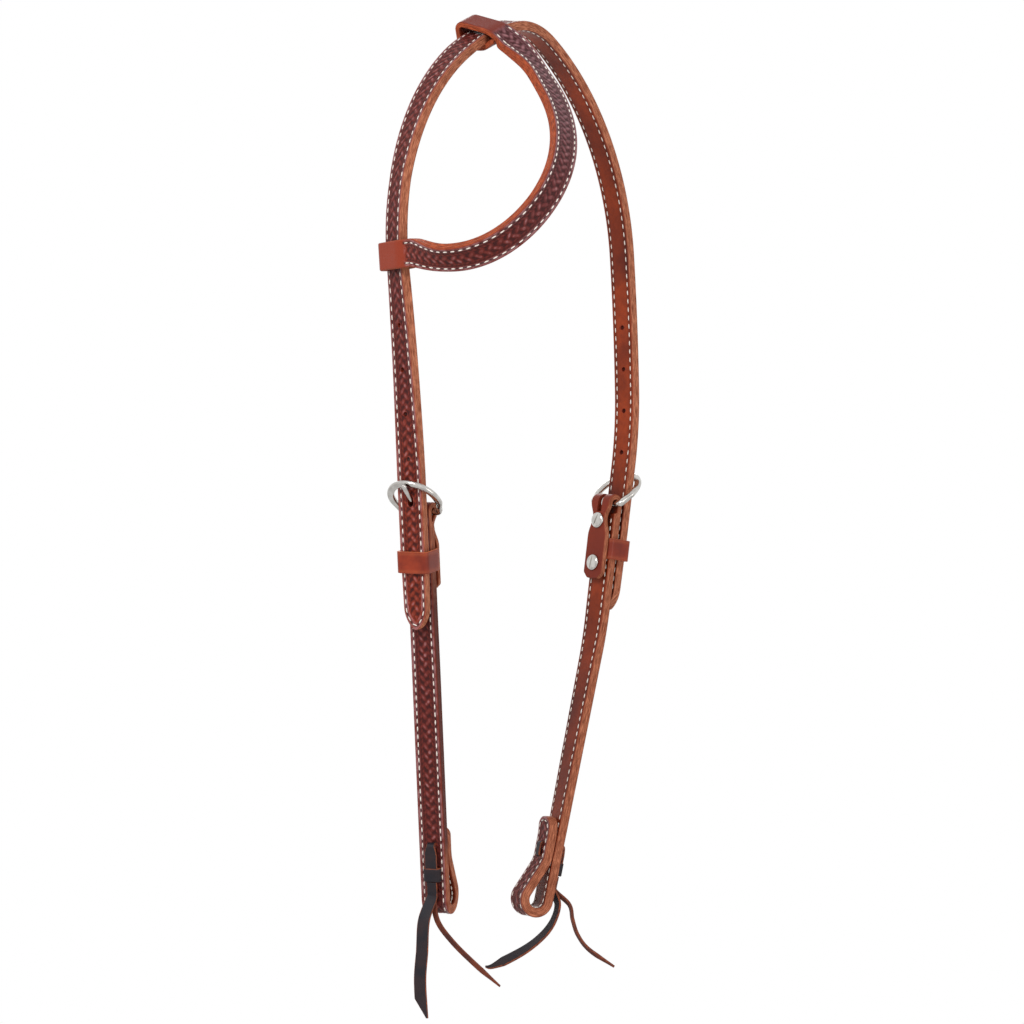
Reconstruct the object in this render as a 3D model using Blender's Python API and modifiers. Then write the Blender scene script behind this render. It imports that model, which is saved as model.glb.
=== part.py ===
"""Western headstall: a sliding one-ear bridle head of doubled and stitched leather, hanging from its crown.

The crown strap passes over the top and ends in two billets. Each billet is buckled to a cheek strap, whose
top folds over the buckle's heel bar and whose lower end folds back into the bit loop. The ear piece wraps
round the crown strap at both ends and slides along it. Metres, +Z up, -Y to the front, +X to the off side.
The origin is on the underside of the crown at its highest point.
"""

import math
from dataclasses import dataclass

import bmesh
import bpy
import numpy as np
from mathutils import Matrix, Vector

# Straps: an outer layer and a lining with a glue line between them
STRAP_WIDTH = 0.016
OUTER_THICKNESS = 0.0033
LINING_THICKNESS = 0.0021
SEAM_GAP = 0.0003
EDGE_ROUND = 0.0005
TOUCH_GAP = 0.0003

# Crown: radii and stretches of the strap's seam line, from the highest point down each side
TOP_RADIUS = 0.045
ARCH_RADIUS = 0.1383
OFF_ARCH_RADIUS = 0.153
NEAR_TOP_TURN = 10.5
TOP_LOOP_HOLD_TURN = 21.5
ARCH_TWIST_TURN = 42.0
LOWER_LOOP_HOLD_TURN = 20.0
OFF_TOP_TURN = 32.3
OFF_ARCH_TURN = 56.0
NEAR_SIDE_LENGTH = 0.073
OFF_SIDE_LENGTH = 0.082
NEAR_SIDE_TURN = -2.5
OFF_SIDE_TURN = 4.0
BEND_LENGTH = 0.046
NEAR_BEND_TURN = 7.0
OFF_BEND_TURN = 4.0
BEND_SWAY = 6.4
PLANE_LEAN = 2.9
CROWN_TOP_TWIST = 8.0
LOWER_LOOP_TWIST = -20.0
SIDE_TWIST = -3.0
BUCKLE_TWIST = 10.0

# Billets
BILLET_ABOVE_HEEL = 0.024
BILLET_BELOW_HEEL = 0.064
TIP_LENGTH = 0.0095
TIP_NOSE_SHARE = 0.22
HOLE_PITCH = 0.0254
HOLE_DIAMETER = 0.0042
SPARE_HOLES = 4

# Chape, cheek and bit loop
FLANGE_THICKNESS = 0.0012
CHAPE_BELOW_HEEL = 0.0462
CHAPE_CHAMFER = 0.0035
WAIST_WIDTH = 0.0106
WAIST_BELOW_HEEL = 0.009
WAIST_SPREAD = 0.0115
NEAR_CHEEK_LENGTH = 0.113
OFF_CHEEK_LENGTH = 0.126
CHEEK_BEND_LENGTH = 0.030
NEAR_CHEEK_BEND_TURN = 3.0
OFF_CHEEK_BEND_TURN = 4.0
CHEEK_BEND_SWAY = 2.5
NEAR_CHEEK_TWIST = 8.0
OFF_CHEEK_TWIST = 17.0
LOOP_RADIUS = 0.0073
LOOP_DROP = 0.0232
LOOP_FLARE = 24.0
LOOP_CLOSE_RADIUS = 0.020
NEAR_FLAP_LENGTH = 0.0084
OFF_FLAP_LENGTH = 0.009
NEAR_LIFT_LENGTH = 0.001
OFF_LIFT_LENGTH = 0.008
FLAP_LIFT_TURN = 8.0
FLAP_TIP_LENGTH = 0.006

# Keeper
KEEPER_WIDTH = 0.0126
KEEPER_THICKNESS = 0.0016
KEEPER_CORNER = 0.0014
KEEPER_SIDE_CLEARANCE = 0.0005

# Buckle: wire frame with a straight heel bar and a round bow, and its tongue
WIRE_DIAMETER = 0.0034
BUCKLE_LENGTH = 0.025
BOW_RADIUS = 0.0146
HEEL_CLEARANCE = 0.0006
HEEL_CORNER_TURN = 9.0
BUCKLE_TILT = 42.0
TONGUE_DIAMETER = 0.0024
TONGUE_OVERHANG = 0.0024
TONGUE_HOOK_TURN = 255.0
TONGUE_SLOT_WIDTH = 0.0036
TONGUE_SLOT_BELOW = 0.0055
TONGUE_HOLE_WIDTH = 0.0038
TONGUE_HOLE_SLACK = 0.0005
TONGUE_SWING = 8.0
LINING_BELOW_HEEL = 0.0052

# Chicago screws
CAP_DIAMETER = 0.0095
CAP_HEIGHT = 0.0019
CAP_RIM = 0.0005
SHANK_DIAMETER = 0.0034
POST_DIAMETER = 0.0052
POST_END_WALL = 0.0012
UPPER_SCREW_BELOW_HEEL = 0.011
SCREW_SPACING = 0.0257

# Ear piece: loops and the route between them
LOWER_LOOP_TURN = 92.0
TOP_LOOP_TURN = 22.4
LOOP_CLEARANCE = 0.0009
LOOP_CORNER = 0.0018
LOOP_FRONT = 0.0095
EAR_JOIN_LENGTH = 0.0115
EAR_LEAD = 0.016
EAR_BLEND_SHARE = 0.16
EAR_SEAM_RISE = 0.0016
RETURN_WEDGE = 14.0
TOP_BAND_TILT = 13.0
TOP_LEAVE_TILT = 36.0
TOP_LEAVE_DROP = 0.0062
EAR_POINT_SHARES = ((-1.177, -0.906, -1.346), (-0.688, -0.791, -0.558), (-0.523, -0.833, -0.696))
EAR_CENTRE_SHARES = (-0.55, -0.18, -0.70)

# Ties
THONG_WIDTH = 0.005
THONG_THICKNESS = 0.0015
THONG_BEND = 0.0013
SLOT_CLEARANCE = 0.0005
UPPER_SLOT_ABOVE_LOOP = 0.0112
LOWER_SLOT_ABOVE_LOOP = 0.0034
COLLAR_WIDTH = 0.0105
COLLAR_LENGTH = 0.0082
COLLAR_WALL = 0.0006
NEAR_COLLAR_DROP = 0.0062
OFF_COLLAR_DROP = 0.0022
BLADE_WIDTH = 0.0076
TAIL_WIDTH = 0.0040
TAIL_THICKNESS = 0.0016

# Tails: sideways in the picture plane, outwards and down from each tail's start
TAIL_PLANE_TURN = math.radians(-52.5)
NEAR_BLADE_POINTS = ((-0.0045, 0.001, 0.022), (-0.0056, 0.001, 0.0395), (-0.0068, 0.0, 0.057), (-0.0056, 0.0, 0.079))
NEAR_TAIL_POINTS = ((0.0025, -0.001, 0.0225), (0.011, -0.003, 0.035), (0.0246, -0.005, 0.0488), (0.0391, -0.006, 0.0616))
OFF_BLADE_POINTS = (
    (0.002, 0.002, 0.0165),
    (-0.0006, 0.004, 0.0265),
    (-0.0072, 0.004, 0.0356),
    (-0.0187, 0.004, 0.0446),
    (-0.0362, 0.003, 0.0537),
    (-0.0416, 0.003, 0.0545),
)
OFF_TAIL_POINTS = (
    (0.0074, 0.001, 0.017),
    (0.0094, 0.001, 0.026),
    (0.0125, 0.001, 0.0352),
    (0.0194, 0.0, 0.0442),
    (0.0345, -0.001, 0.0545),
)
TAIL_LEAD = 0.008
BLADE_FULL_SHARE = 0.6
BLADE_TIP_SHARE = 0.84
TAIL_TIP_SHARE = 0.8

NEAR = -1
OFF = 1

# Facet lengths
CURVE_STEP = 0.0085
STRAIGHT_STEP = 0.018
FINE_STEP = 0.004
ROUND_SIDES = 16
HOLE_SIDES = 8
CORNER_STEPS = 2
FOLD_STEPS = 8
LOOP_STEPS = 14
BOW_STEPS = 26
HOOK_STEPS = 14
EAR_STEPS = 34
DOME_ANGLES = tuple(math.radians(a) for a in (0.0, 30.0, 60.0, 90.0))
WAIST_STEP_SHARES = (0.0, 0.14, 0.28, 0.42, 0.56, 0.70, 0.85, 1.0)
CHEEK_BEND_TWIST_SHARE = 0.35
CUT_OVERRUN = 0.001
MERGE_DISTANCE = 0.00001

STACK_THICKNESS = OUTER_THICKNESS + SEAM_GAP + LINING_THICKNESS
OUTER_FACE = SEAM_GAP / 2 + OUTER_THICKNESS
LINING_FACE = -SEAM_GAP / 2 - LINING_THICKNESS
HALF_WIDTH = STRAP_WIDTH / 2

# Depths in the buckle zone, measured outwards from the billet's seam
CHEEK_DEPTH = LINING_FACE - TOUCH_GAP - FLANGE_THICKNESS - TOUCH_GAP - OUTER_FACE
FOLD_FACE = CHEEK_DEPTH + SEAM_GAP / 2
KEEPER_ROOM = LINING_THICKNESS + SEAM_GAP + TOUCH_GAP + KEEPER_THICKNESS + TOUCH_GAP
FOLD_INNER_RADIUS = max(WIRE_DIAMETER / 2 + HEEL_CLEARANCE, KEEPER_ROOM / 2)
HEEL_DEPTH = FOLD_FACE - FOLD_INNER_RADIUS
FOLD_RADIUS = CHEEK_DEPTH - HEEL_DEPTH
CHAPE_SEAM = HEEL_DEPTH - FOLD_RADIUS
CHAPE_BACK = CHAPE_SEAM - OUTER_FACE
TONGUE_OFFSET = WIRE_DIAMETER / 2 + TOUCH_GAP + TONGUE_DIAMETER / 2
LEG_SPACING = 2 * -LINING_FACE + TOUCH_GAP
LOWER_SCREW_BELOW_HEEL = UPPER_SCREW_BELOW_HEEL + SCREW_SPACING


@dataclass(frozen=True)
class Leg:
    """A stretch of strap: its length, and how far it turns down, sways back and twists forward, in degrees."""

    length: float
    turn: float = 0.0
    sway: float = 0.0
    twist: float = 0.0
    step: float = CURVE_STEP


@dataclass
class Station:
    """One place along a strap: a point on its seam line, three directions and the strap's half width."""

    point: np.ndarray
    along: np.ndarray
    normal: np.ndarray
    front: np.ndarray
    half_width: float = HALF_WIDTH

    def at(self, outward=0.0, forward=0.0, onward=0.0):
        return self.point + outward * self.normal + forward * self.front + onward * self.along

    def moved(self, outward=0.0, forward=0.0, onward=0.0):
        return Station(
            self.at(outward, forward, onward), self.along, self.normal, self.front, self.half_width
        )

    def reversed(self):
        """The same place seen from the other face, walking the other way."""
        return Station(self.point, -self.along, -self.normal, self.front, self.half_width)

    def narrowed(self, half_width):
        return Station(self.point, self.along, self.normal, self.front, half_width)


def heading(turn, sway):
    t, s = math.radians(turn), math.radians(sway)
    return np.array((math.cos(t) * math.cos(s), math.sin(s), -math.sin(t) * math.cos(s)))


def leaned(vector):
    """Leans the hanging plane so that its lower parts come forward."""
    a = math.radians(-PLANE_LEAN)
    x, y, z = vector
    return np.array((x, y * math.cos(a) - z * math.sin(a), y * math.sin(a) + z * math.cos(a)))


@dataclass
class Walker:
    """Walks down one side of the headstall from its highest point, leaving a station at each step."""

    side: int
    point: np.ndarray
    turn: float = 0.0
    sway: float = 0.0
    twist: float = 0.0

    def placed(self, vector):
        return leaned(vector * np.array((self.side, 1.0, 1.0)))

    def directions(self):
        """Along, outwards and forwards, before the side and the lean are applied."""
        t, b = math.radians(self.turn), math.radians(self.twist)
        along = heading(self.turn, self.sway)
        radial = np.array((math.sin(t), 0.0, math.cos(t)))
        forward = np.cross(along, radial)
        normal = math.cos(b) * radial + math.sin(b) * forward
        front = math.cos(b) * forward - math.sin(b) * radial
        return along, normal, front

    def station(self):
        return Station(*(self.placed(v) for v in (self.point, *self.directions())))

    def shift_out(self, distance):
        self.point = self.point + distance * self.directions()[1]

    def walk(self, leg):
        steps = max(1, math.ceil(round(leg.length / leg.step, 3)))
        half = math.radians(math.hypot(leg.turn, leg.sway)) / steps / 2
        chord = leg.length / steps * (math.sin(half) / half if half else 1.0)
        stations = []
        for _ in range(steps):
            middle = heading(self.turn + leg.turn / steps / 2, self.sway + leg.sway / steps / 2)
            self.point = self.point + chord * middle
            self.turn += leg.turn / steps
            self.sway += leg.sway / steps
            self.twist += leg.twist / steps
            stations.append(self.station())
        return stations

    def walk_all(self, legs):
        return [station for leg in legs for station in self.walk(leg)]


def arc_leg(radius, turn, twist=0.0, step=CURVE_STEP):
    return Leg(radius * math.radians(turn), turn, 0.0, twist, step)


def bend_on(station, length, bend=0.0, step=CURVE_STEP, steps=0):
    """Carries a strap on in its own plane; a positive bend, in degrees, curls it away from its outer face."""
    steps = steps or max(1, math.ceil(round(length / step, 3)))
    half = math.radians(bend) / steps / 2
    chord = length / steps * (math.sin(half) / half if half else 1.0)
    stations = []
    for _ in range(steps):
        middle = math.cos(half) * station.along - math.sin(half) * station.normal
        turned = math.cos(2 * half) * station.along - math.sin(2 * half) * station.normal
        normal = math.cos(2 * half) * station.normal + math.sin(2 * half) * station.along
        station = Station(
            station.point + chord * middle, turned, normal, station.front, station.half_width
        )
        stations.append(station)
    return stations


def rounded_tip(station, length, nose_share=TIP_NOSE_SHARE, steps=5):
    """Stations of a round end: the last few steps of a strap, narrowing to its nose."""
    start = math.asin(nose_share)
    tip = []
    for i in range(1, steps + 1):
        angle = math.pi / 2 - (math.pi / 2 - start) * i / steps
        share = math.cos(angle)
        tip.append(station.moved(onward=length * share).narrowed(station.half_width * math.sin(angle)))
    return tip


# Scene, materials and objects


def clear_scene():
    for item in list(bpy.data.objects):
        bpy.data.objects.remove(item, do_unlink=True)
    for stale in list(bpy.data.collections):
        bpy.data.collections.remove(stale)


def new_collection(name):
    made = bpy.data.collections.new(name)
    bpy.context.scene.collection.children.link(made)
    return made


def principled(name, colour, roughness, metallic=0.0):
    material = bpy.data.materials.new(name)
    material.use_nodes = True
    shader = material.node_tree.nodes["Principled BSDF"]
    shader.inputs["Base Color"].default_value = (*colour, 1.0)
    shader.inputs["Roughness"].default_value = roughness
    shader.inputs["Metallic"].default_value = metallic
    return material


TOOLED = ((0.110, 0.028, 0.018), 0.45, 0.0)
LINING = ((0.230, 0.055, 0.018), 0.55, 0.0)
SMOOTH = ((0.200, 0.050, 0.020), 0.38, 0.0)
LACE = ((0.030, 0.018, 0.016), 0.55, 0.0)
NICKEL = ((0.780, 0.770, 0.740), 0.18, 1.0)


def add_object(name, data, finish, matrix=None):
    """Links data as a named part with its own material."""
    made = bpy.data.objects.new(name, data)
    PARTS.objects.link(made)
    data.materials.append(principled(name, *finish))
    if matrix is not None:
        made.matrix_world = matrix
    return made


def basis(origin, x_axis, y_axis):
    """A right-handed placement from an origin and two square directions."""
    z_axis = np.cross(x_axis, y_axis)
    rows = [[x_axis[i], y_axis[i], z_axis[i], origin[i]] for i in range(3)]
    return Matrix((*rows, (0.0, 0.0, 0.0, 1.0)))


def recentre(made, matrix):
    """Gives a mesh modelled in place an origin and directions of its own."""
    made.data.transform(matrix.inverted())
    made.matrix_world = matrix


def mesh_from(bm, name):
    mesh = bpy.data.meshes.new(name)
    bm.to_mesh(mesh)
    bm.free()
    return mesh


def solidify(made, thickness):
    shell = made.modifiers.new("thickness", "SOLIDIFY")
    shell.thickness = thickness
    shell.offset = 1.0
    shell.use_even_offset = True
    return shell


def soften(made, width, angle=50.0):
    edge = made.modifiers.new("edges", "BEVEL")
    edge.width = width
    edge.segments = 1
    edge.limit_method = "ANGLE"
    edge.angle_limit = math.radians(angle)
    return edge


def cut(made, cutter):
    hole = made.modifiers.new("cut_" + cutter.name, "BOOLEAN")
    hole.operation = "DIFFERENCE"
    hole.solver = "EXACT"
    hole.object = cutter
    return hole


def ribbon(name, stations, foot, thickness, finish):
    """A leather layer: a strip laid through its stations, foot out from the seam, and given its thickness."""
    bm = bmesh.new()
    count = len(stations)
    bmesh.ops.create_grid(bm, x_segments=count - 1, y_segments=1, size=1.0)
    for vertex in bm.verts:
        station = stations[round((vertex.co.x + 1.0) / 2.0 * (count - 1))]
        side = 1.0 if vertex.co.y > 0.0 else -1.0
        vertex.co = Vector(station.at(outward=foot, forward=side * station.half_width))
    first = stations[0]
    onward = stations[1].point - first.point
    if np.dot(np.cross(onward, first.front), first.normal) < 0.0:
        bmesh.ops.reverse_faces(bm, faces=bm.faces[:])
    made = add_object(name, mesh_from(bm, name), finish)
    solidify(made, thickness)
    soften(made, EDGE_ROUND)
    return made


def outer_layer(name, stations):
    return ribbon(name, stations, SEAM_GAP / 2, OUTER_THICKNESS, TOOLED)


def lining_layer(name, stations):
    return ribbon(name, stations, LINING_FACE, LINING_THICKNESS, LINING)


def prism_cutter(name, matrix, width, height, depth, sides):
    """A round or, with four sides, a square cutter along its placement's Z axis."""
    bm = bmesh.new()
    if sides == 4:
        bmesh.ops.create_cube(bm, size=1.0)
    else:
        bmesh.ops.create_cone(
            bm, cap_ends=True, segments=sides, radius1=0.5, radius2=0.5, depth=1.0
        )
    bmesh.ops.scale(bm, vec=(width, height, depth), verts=bm.verts)
    made = bpy.data.objects.new(name, mesh_from(bm, name))
    CUTTERS.objects.link(made)
    made.matrix_world = matrix
    made.hide_render = True
    made.display_type = "WIRE"
    return made


def across(station, outward=0.0, onward=0.0):
    """A placement at a station whose Z axis runs through the strap."""
    origin = station.at(outward=outward, onward=onward)
    return basis(origin, station.front, np.cross(station.normal, station.front))


# Crown strap


def crown_start(side):
    """A walker at the highest point, with the lining's face on the origin."""
    walker = Walker(side, np.zeros(3), twist=CROWN_TOP_TWIST)
    walker.shift_out(-LINING_FACE)
    return walker


def side_legs(side):
    """The crown's legs from its highest point down to the buckle zone."""
    if side == OFF:
        return [
            arc_leg(TOP_RADIUS, OFF_TOP_TURN, step=FINE_STEP),
            arc_leg(OFF_ARCH_RADIUS, OFF_ARCH_TURN),
            Leg(OFF_SIDE_LENGTH, OFF_SIDE_TURN, step=STRAIGHT_STEP),
            Leg(BEND_LENGTH, OFF_BEND_TURN, BEND_SWAY, BUCKLE_TWIST - CROWN_TOP_TWIST),
        ]
    return [
        arc_leg(TOP_RADIUS, NEAR_TOP_TURN, step=FINE_STEP),
        arc_leg(ARCH_RADIUS, TOP_LOOP_HOLD_TURN),
        arc_leg(ARCH_RADIUS, ARCH_TWIST_TURN, LOWER_LOOP_TWIST - CROWN_TOP_TWIST),
        arc_leg(ARCH_RADIUS, LOWER_LOOP_HOLD_TURN),
        Leg(NEAR_SIDE_LENGTH, NEAR_SIDE_TURN, 0.0, SIDE_TWIST - LOWER_LOOP_TWIST),
        Leg(BEND_LENGTH, NEAR_BEND_TURN, BEND_SWAY, BUCKLE_TWIST - SIDE_TWIST),
    ]


@dataclass
class CrownSide:
    """One side of the crown: its name, its stations down to the tip, and where the heel bar lies behind it."""

    side: int
    name: str
    stations: list
    heel: Station
    walker: Walker

    @property
    def bar(self):
        """The centre of the buckle's heel bar."""
        return self.heel.at(outward=HEEL_DEPTH)


def crown_side(side, name):
    walker = crown_start(side)
    stations = [walker.station()] + walker.walk_all(side_legs(side))
    stations += walker.walk(Leg(BILLET_ABOVE_HEEL, step=STRAIGHT_STEP))
    heel = walker.station()
    below = Walker(side, walker.point, walker.turn, walker.sway, walker.twist)
    stations += walker.walk(Leg(BILLET_BELOW_HEEL - TIP_LENGTH, step=STRAIGHT_STEP))
    stations += rounded_tip(stations[-1], TIP_LENGTH)
    return CrownSide(side, name, stations, heel, below)


def arch_station(turn):
    """The crown's station on the near arch at a turn from the highest point, and the arch's centre."""
    walker = crown_start(NEAR)
    walker.walk(arc_leg(TOP_RADIUS, NEAR_TOP_TURN, step=FINE_STEP))
    t = math.radians(walker.turn)
    radial = np.array((math.sin(t), 0.0, math.cos(t)))
    centre = walker.placed(walker.point - ARCH_RADIUS * radial)
    past_hold = turn - NEAR_TOP_TURN - TOP_LOOP_HOLD_TURN
    share = min(max(past_hold / ARCH_TWIST_TURN, 0.0), 1.0)
    twist = share * (LOWER_LOOP_TWIST - CROWN_TOP_TWIST)
    walker.walk(arc_leg(ARCH_RADIUS, turn - NEAR_TOP_TURN, twist))
    return walker.station(), centre


def run_between(stations, last):
    """The length along the stations up to the one at the same place as last."""
    run = 0.0
    for before, after in zip(stations, stations[1:]):
        run += float(np.linalg.norm(after.point - before.point))
        if np.linalg.norm(after.point - last.point) < SEAM_GAP:
            break
    return run


def station_at_run(stations, run):
    """The place on the strap at a length from its first station."""
    passed = 0.0
    for before, after in zip(stations, stations[1:]):
        step = float(np.linalg.norm(after.point - before.point))
        if passed + step >= run:
            return before.moved(onward=run - passed)
        passed += step
    return stations[-1]


def tongue_hole(crown):
    """The cutter of the hole in use, drawn long by the tongue, and its place along the strap from the heel."""
    tilt = math.radians(BUCKLE_TILT)
    rise = math.sin(tilt) * crown.heel.normal - math.cos(tilt) * crown.heel.along
    drop = math.cos(tilt) * crown.heel.normal + math.sin(tilt) * crown.heel.along
    middle = (OUTER_FACE + LINING_FACE) / 2
    reach = (middle - HEEL_DEPTH - TONGUE_OFFSET * math.cos(tilt)) / math.sin(tilt)
    centre = crown.bar + TONGUE_OFFSET * drop + reach * rise
    swing = reach * math.radians(TONGUE_SWING)
    matrix = basis(centre + drop * swing / 2, crown.heel.front, np.cross(rise, crown.heel.front))
    length = TONGUE_DIAMETER + 2 * TONGUE_HOLE_SLACK + swing
    depth = 2 * STACK_THICKNESS / math.sin(tilt)
    name = crown.name + "_hole_cutter_0"
    cutter = prism_cutter(name, matrix, TONGUE_HOLE_WIDTH, length, depth, 2 * HOLE_SIDES)
    return cutter, float(np.dot(centre - crown.heel.point, crown.heel.along))


def spare_holes(crown, first_run):
    """Round holes at the buckle pitch, up the strap from the hole in use."""
    cutters = []
    for number in range(1, SPARE_HOLES + 1):
        station = station_at_run(crown.stations, first_run - number * HOLE_PITCH)
        name = crown.name + "_hole_cutter_" + str(number)
        size = HOLE_DIAMETER
        cutters.append(prism_cutter(name, across(station), size, size, 2 * STACK_THICKNESS, HOLE_SIDES))
    return cutters


def build_crown(near, off):
    """One strap from the near billet tip over the top to the off billet tip."""
    stations = near.stations[::-1] + off.stations[1:]
    layers = (outer_layer("crown_outer", stations), lining_layer("crown_lining", stations))
    for crown in (near, off):
        cutter, above = tongue_hole(crown)
        first_run = run_between(crown.stations, crown.heel) + above
        for hole in [cutter] + spare_holes(crown, first_run):
            for layer in layers:
                cut(layer, hole)


# Cheek straps


def waist_half_width(below_heel):
    """Half the chape's width at a level below the heel bar: drawn in where the upper screw holds it."""
    spread = WAIST_SPREAD if below_heel > WAIST_BELOW_HEEL else WAIST_BELOW_HEEL
    share = min(abs(below_heel - WAIST_BELOW_HEEL) / spread, 1.0)
    return HALF_WIDTH - (STRAP_WIDTH - WAIST_WIDTH) / 2 * math.cos(share * math.pi / 2) ** 2


def chape_stations(heel):
    """From the chape's lower end up the back and over the heel bar to the front of the fold."""
    end = heel.moved(outward=CHAPE_SEAM, onward=CHAPE_BELOW_HEEL).reversed()
    stations = [end.narrowed(HALF_WIDTH - CHAPE_CHAMFER), end.moved(onward=CHAPE_CHAMFER)]
    waist_top = WAIST_BELOW_HEEL + WAIST_SPREAD
    stations.append(end.moved(onward=(CHAPE_BELOW_HEEL - waist_top) / 2))
    for share in WAIST_STEP_SHARES:
        level = waist_top * (1.0 - share)
        place = end.moved(onward=CHAPE_BELOW_HEEL - level)
        stations.append(place.narrowed(waist_half_width(level)))
    return stations + bend_on(stations[-1], math.pi * FOLD_RADIUS, 180.0, steps=FOLD_STEPS)


def loop_stations(start, side):
    """From where the two legs part, down, round the bit loop and up the flap to its round end."""
    flare = math.radians(LOOP_FLARE)
    apart = 2 * -LINING_FACE + TOUCH_GAP
    closing = LOOP_CLOSE_RADIUS * (1 - math.cos(flare))
    rise = (LOOP_RADIUS * (1 + math.cos(flare)) - apart - closing) / math.sin(flare)
    turn = 180.0 + LOOP_FLARE
    stations = bend_on(start, LOOP_DROP, steps=3)
    stations += bend_on(stations[-1], LOOP_RADIUS * math.radians(turn), turn, steps=LOOP_STEPS)
    stations += bend_on(stations[-1], rise, steps=2)
    stations += bend_on(stations[-1], LOOP_CLOSE_RADIUS * flare, -LOOP_FLARE, steps=3)
    flap, lift = OFF_FLAP_LENGTH, OFF_LIFT_LENGTH
    if side == NEAR:
        flap, lift = NEAR_FLAP_LENGTH, NEAR_LIFT_LENGTH
    stations += bend_on(stations[-1], flap, steps=1)
    stations += bend_on(stations[-1], lift, -FLAP_LIFT_TURN * lift / OFF_LIFT_LENGTH, FINE_STEP)
    return stations + rounded_tip(stations[-1], FLAP_TIP_LENGTH)


def cheek_stations(crown):
    """The seam line of a cheek's front, from the heel bar down to where the bit loop's legs part."""
    walker = crown.walker
    walker.shift_out(CHEEK_DEPTH)
    start = walker.station()
    twist, length, turn = OFF_CHEEK_TWIST, OFF_CHEEK_LENGTH, OFF_CHEEK_BEND_TURN
    if crown.side == NEAR:
        twist, length, turn = NEAR_CHEEK_TWIST, NEAR_CHEEK_LENGTH, NEAR_CHEEK_BEND_TURN
    bend_twist = twist * CHEEK_BEND_TWIST_SHARE
    legs = [
        Leg(BILLET_BELOW_HEEL, step=STRAIGHT_STEP),
        Leg(CHEEK_BEND_LENGTH, turn, CHEEK_BEND_SWAY, bend_twist),
        Leg(length, 0.0, 0.0, twist - bend_twist, step=STRAIGHT_STEP),
    ]
    return start, walker.walk_all(legs)


def tongue_slot(crown):
    """The slot over the top of the fold, through which the tongue comes forward."""
    reach = FOLD_INNER_RADIUS + OUTER_THICKNESS + CUT_OVERRUN
    height = TONGUE_SLOT_BELOW + reach
    centre = crown.heel.moved(outward=HEEL_DEPTH, onward=(TONGUE_SLOT_BELOW - reach) / 2)
    matrix = across(centre)
    return prism_cutter(crown.name + "_tongue_slot_cutter", matrix, TONGUE_SLOT_WIDTH, height, 2 * reach, 4)


def screw_stations(crown):
    """The heel's station carried down to each of the two screws."""
    levels = (("upper", UPPER_SCREW_BELOW_HEEL), ("lower", LOWER_SCREW_BELOW_HEEL))
    return [(word, crown.heel.moved(onward=level)) for word, level in levels]


def build_cheek(crown):
    """A cheek strap's two layers, with their screw holes, tongue slot and thong slots."""
    start, front = cheek_stations(crown)
    loop = loop_stations(front[-1], crown.side)
    outer = outer_layer(crown.name + "_cheek_outer", chape_stations(crown.heel) + front + loop)
    lining_top = start.moved(onward=LINING_BELOW_HEEL)
    lining = lining_layer(crown.name + "_cheek_lining", [lining_top] + front + loop)
    cut(outer, tongue_slot(crown))
    hole = POST_DIAMETER + 2 * TOUCH_GAP
    depth = OUTER_FACE + CHEEK_DEPTH - CHAPE_BACK + 2 * CUT_OVERRUN
    middle = (OUTER_FACE + CHEEK_DEPTH + CHAPE_BACK) / 2
    for word, place in screw_stations(crown):
        name = crown.name + "_" + word + "_screw_cutter"
        cutter = prism_cutter(name, across(place, outward=middle), hole, hole, depth, ROUND_SIDES)
        cut(outer, cutter)
        cut(lining, cutter)
    for cutter in thong_slots(crown, front[-1]):
        cut(outer, cutter)
        cut(lining, cutter)
    return front[-1]


# Keepers


def rounded_rectangle(width, height, radius):
    """The corner points, in order, of a rectangle with round corners about the origin."""
    points = []
    corners = ((1, 1, 0.0), (-1, 1, 90.0), (-1, -1, 180.0), (1, -1, 270.0))
    for sx, sy, start in corners:
        for i in range(CORNER_STEPS + 1):
            angle = math.radians(start + 90.0 * i / CORNER_STEPS)
            x = sx * (width / 2 - radius) + radius * math.cos(angle)
            y = sy * (height / 2 - radius) + radius * math.sin(angle)
            points.append((x, y))
    return points


def build_keeper(crown):
    """A leather loop round the billet and the cheek, resting on the lower post."""
    width = STRAP_WIDTH + 2 * KEEPER_SIDE_CLEARANCE
    front = OUTER_FACE + TOUCH_GAP
    back = CHEEK_DEPTH + LINING_FACE - TOUCH_GAP
    bm = bmesh.new()
    outline = rounded_rectangle(width, front - back, KEEPER_CORNER)
    ring = [bm.verts.new((x, y, -KEEPER_WIDTH / 2)) for x, y in outline]
    edges = [bm.edges.new((a, b)) for a, b in zip(ring, ring[1:] + ring[:1])]
    made = bmesh.ops.extrude_edge_only(bm, edges=edges)
    top = [item for item in made["geom"] if isinstance(item, bmesh.types.BMVert)]
    bmesh.ops.translate(bm, verts=top, vec=(0.0, 0.0, KEEPER_WIDTH))
    bm.normal_update()
    if bm.faces[:][0].normal.dot(bm.faces[:][0].calc_center_median()) < 0.0:
        bmesh.ops.reverse_faces(bm, faces=bm.faces[:])
    level = LOWER_SCREW_BELOW_HEEL - POST_DIAMETER / 2 - TOUCH_GAP - KEEPER_WIDTH / 2
    place = crown.heel.moved(outward=(front + back) / 2, onward=level)
    matrix = basis(place.point, place.front, place.normal)
    keeper = add_object(crown.name + "_keeper", mesh_from(bm, crown.name + "_keeper"), SMOOTH, matrix)
    solidify(keeper, KEEPER_THICKNESS)
    soften(keeper, EDGE_ROUND)


# Buckles


def frame_direction(crown, turn=0.0):
    """The directions from the heel bar to the bow and, square to it, to the tongue's side."""
    tilt = math.radians(BUCKLE_TILT + turn)
    rise = math.sin(tilt) * crown.heel.normal - math.cos(tilt) * crown.heel.along
    drop = math.cos(tilt) * crown.heel.normal + math.sin(tilt) * crown.heel.along
    return rise, drop


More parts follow.
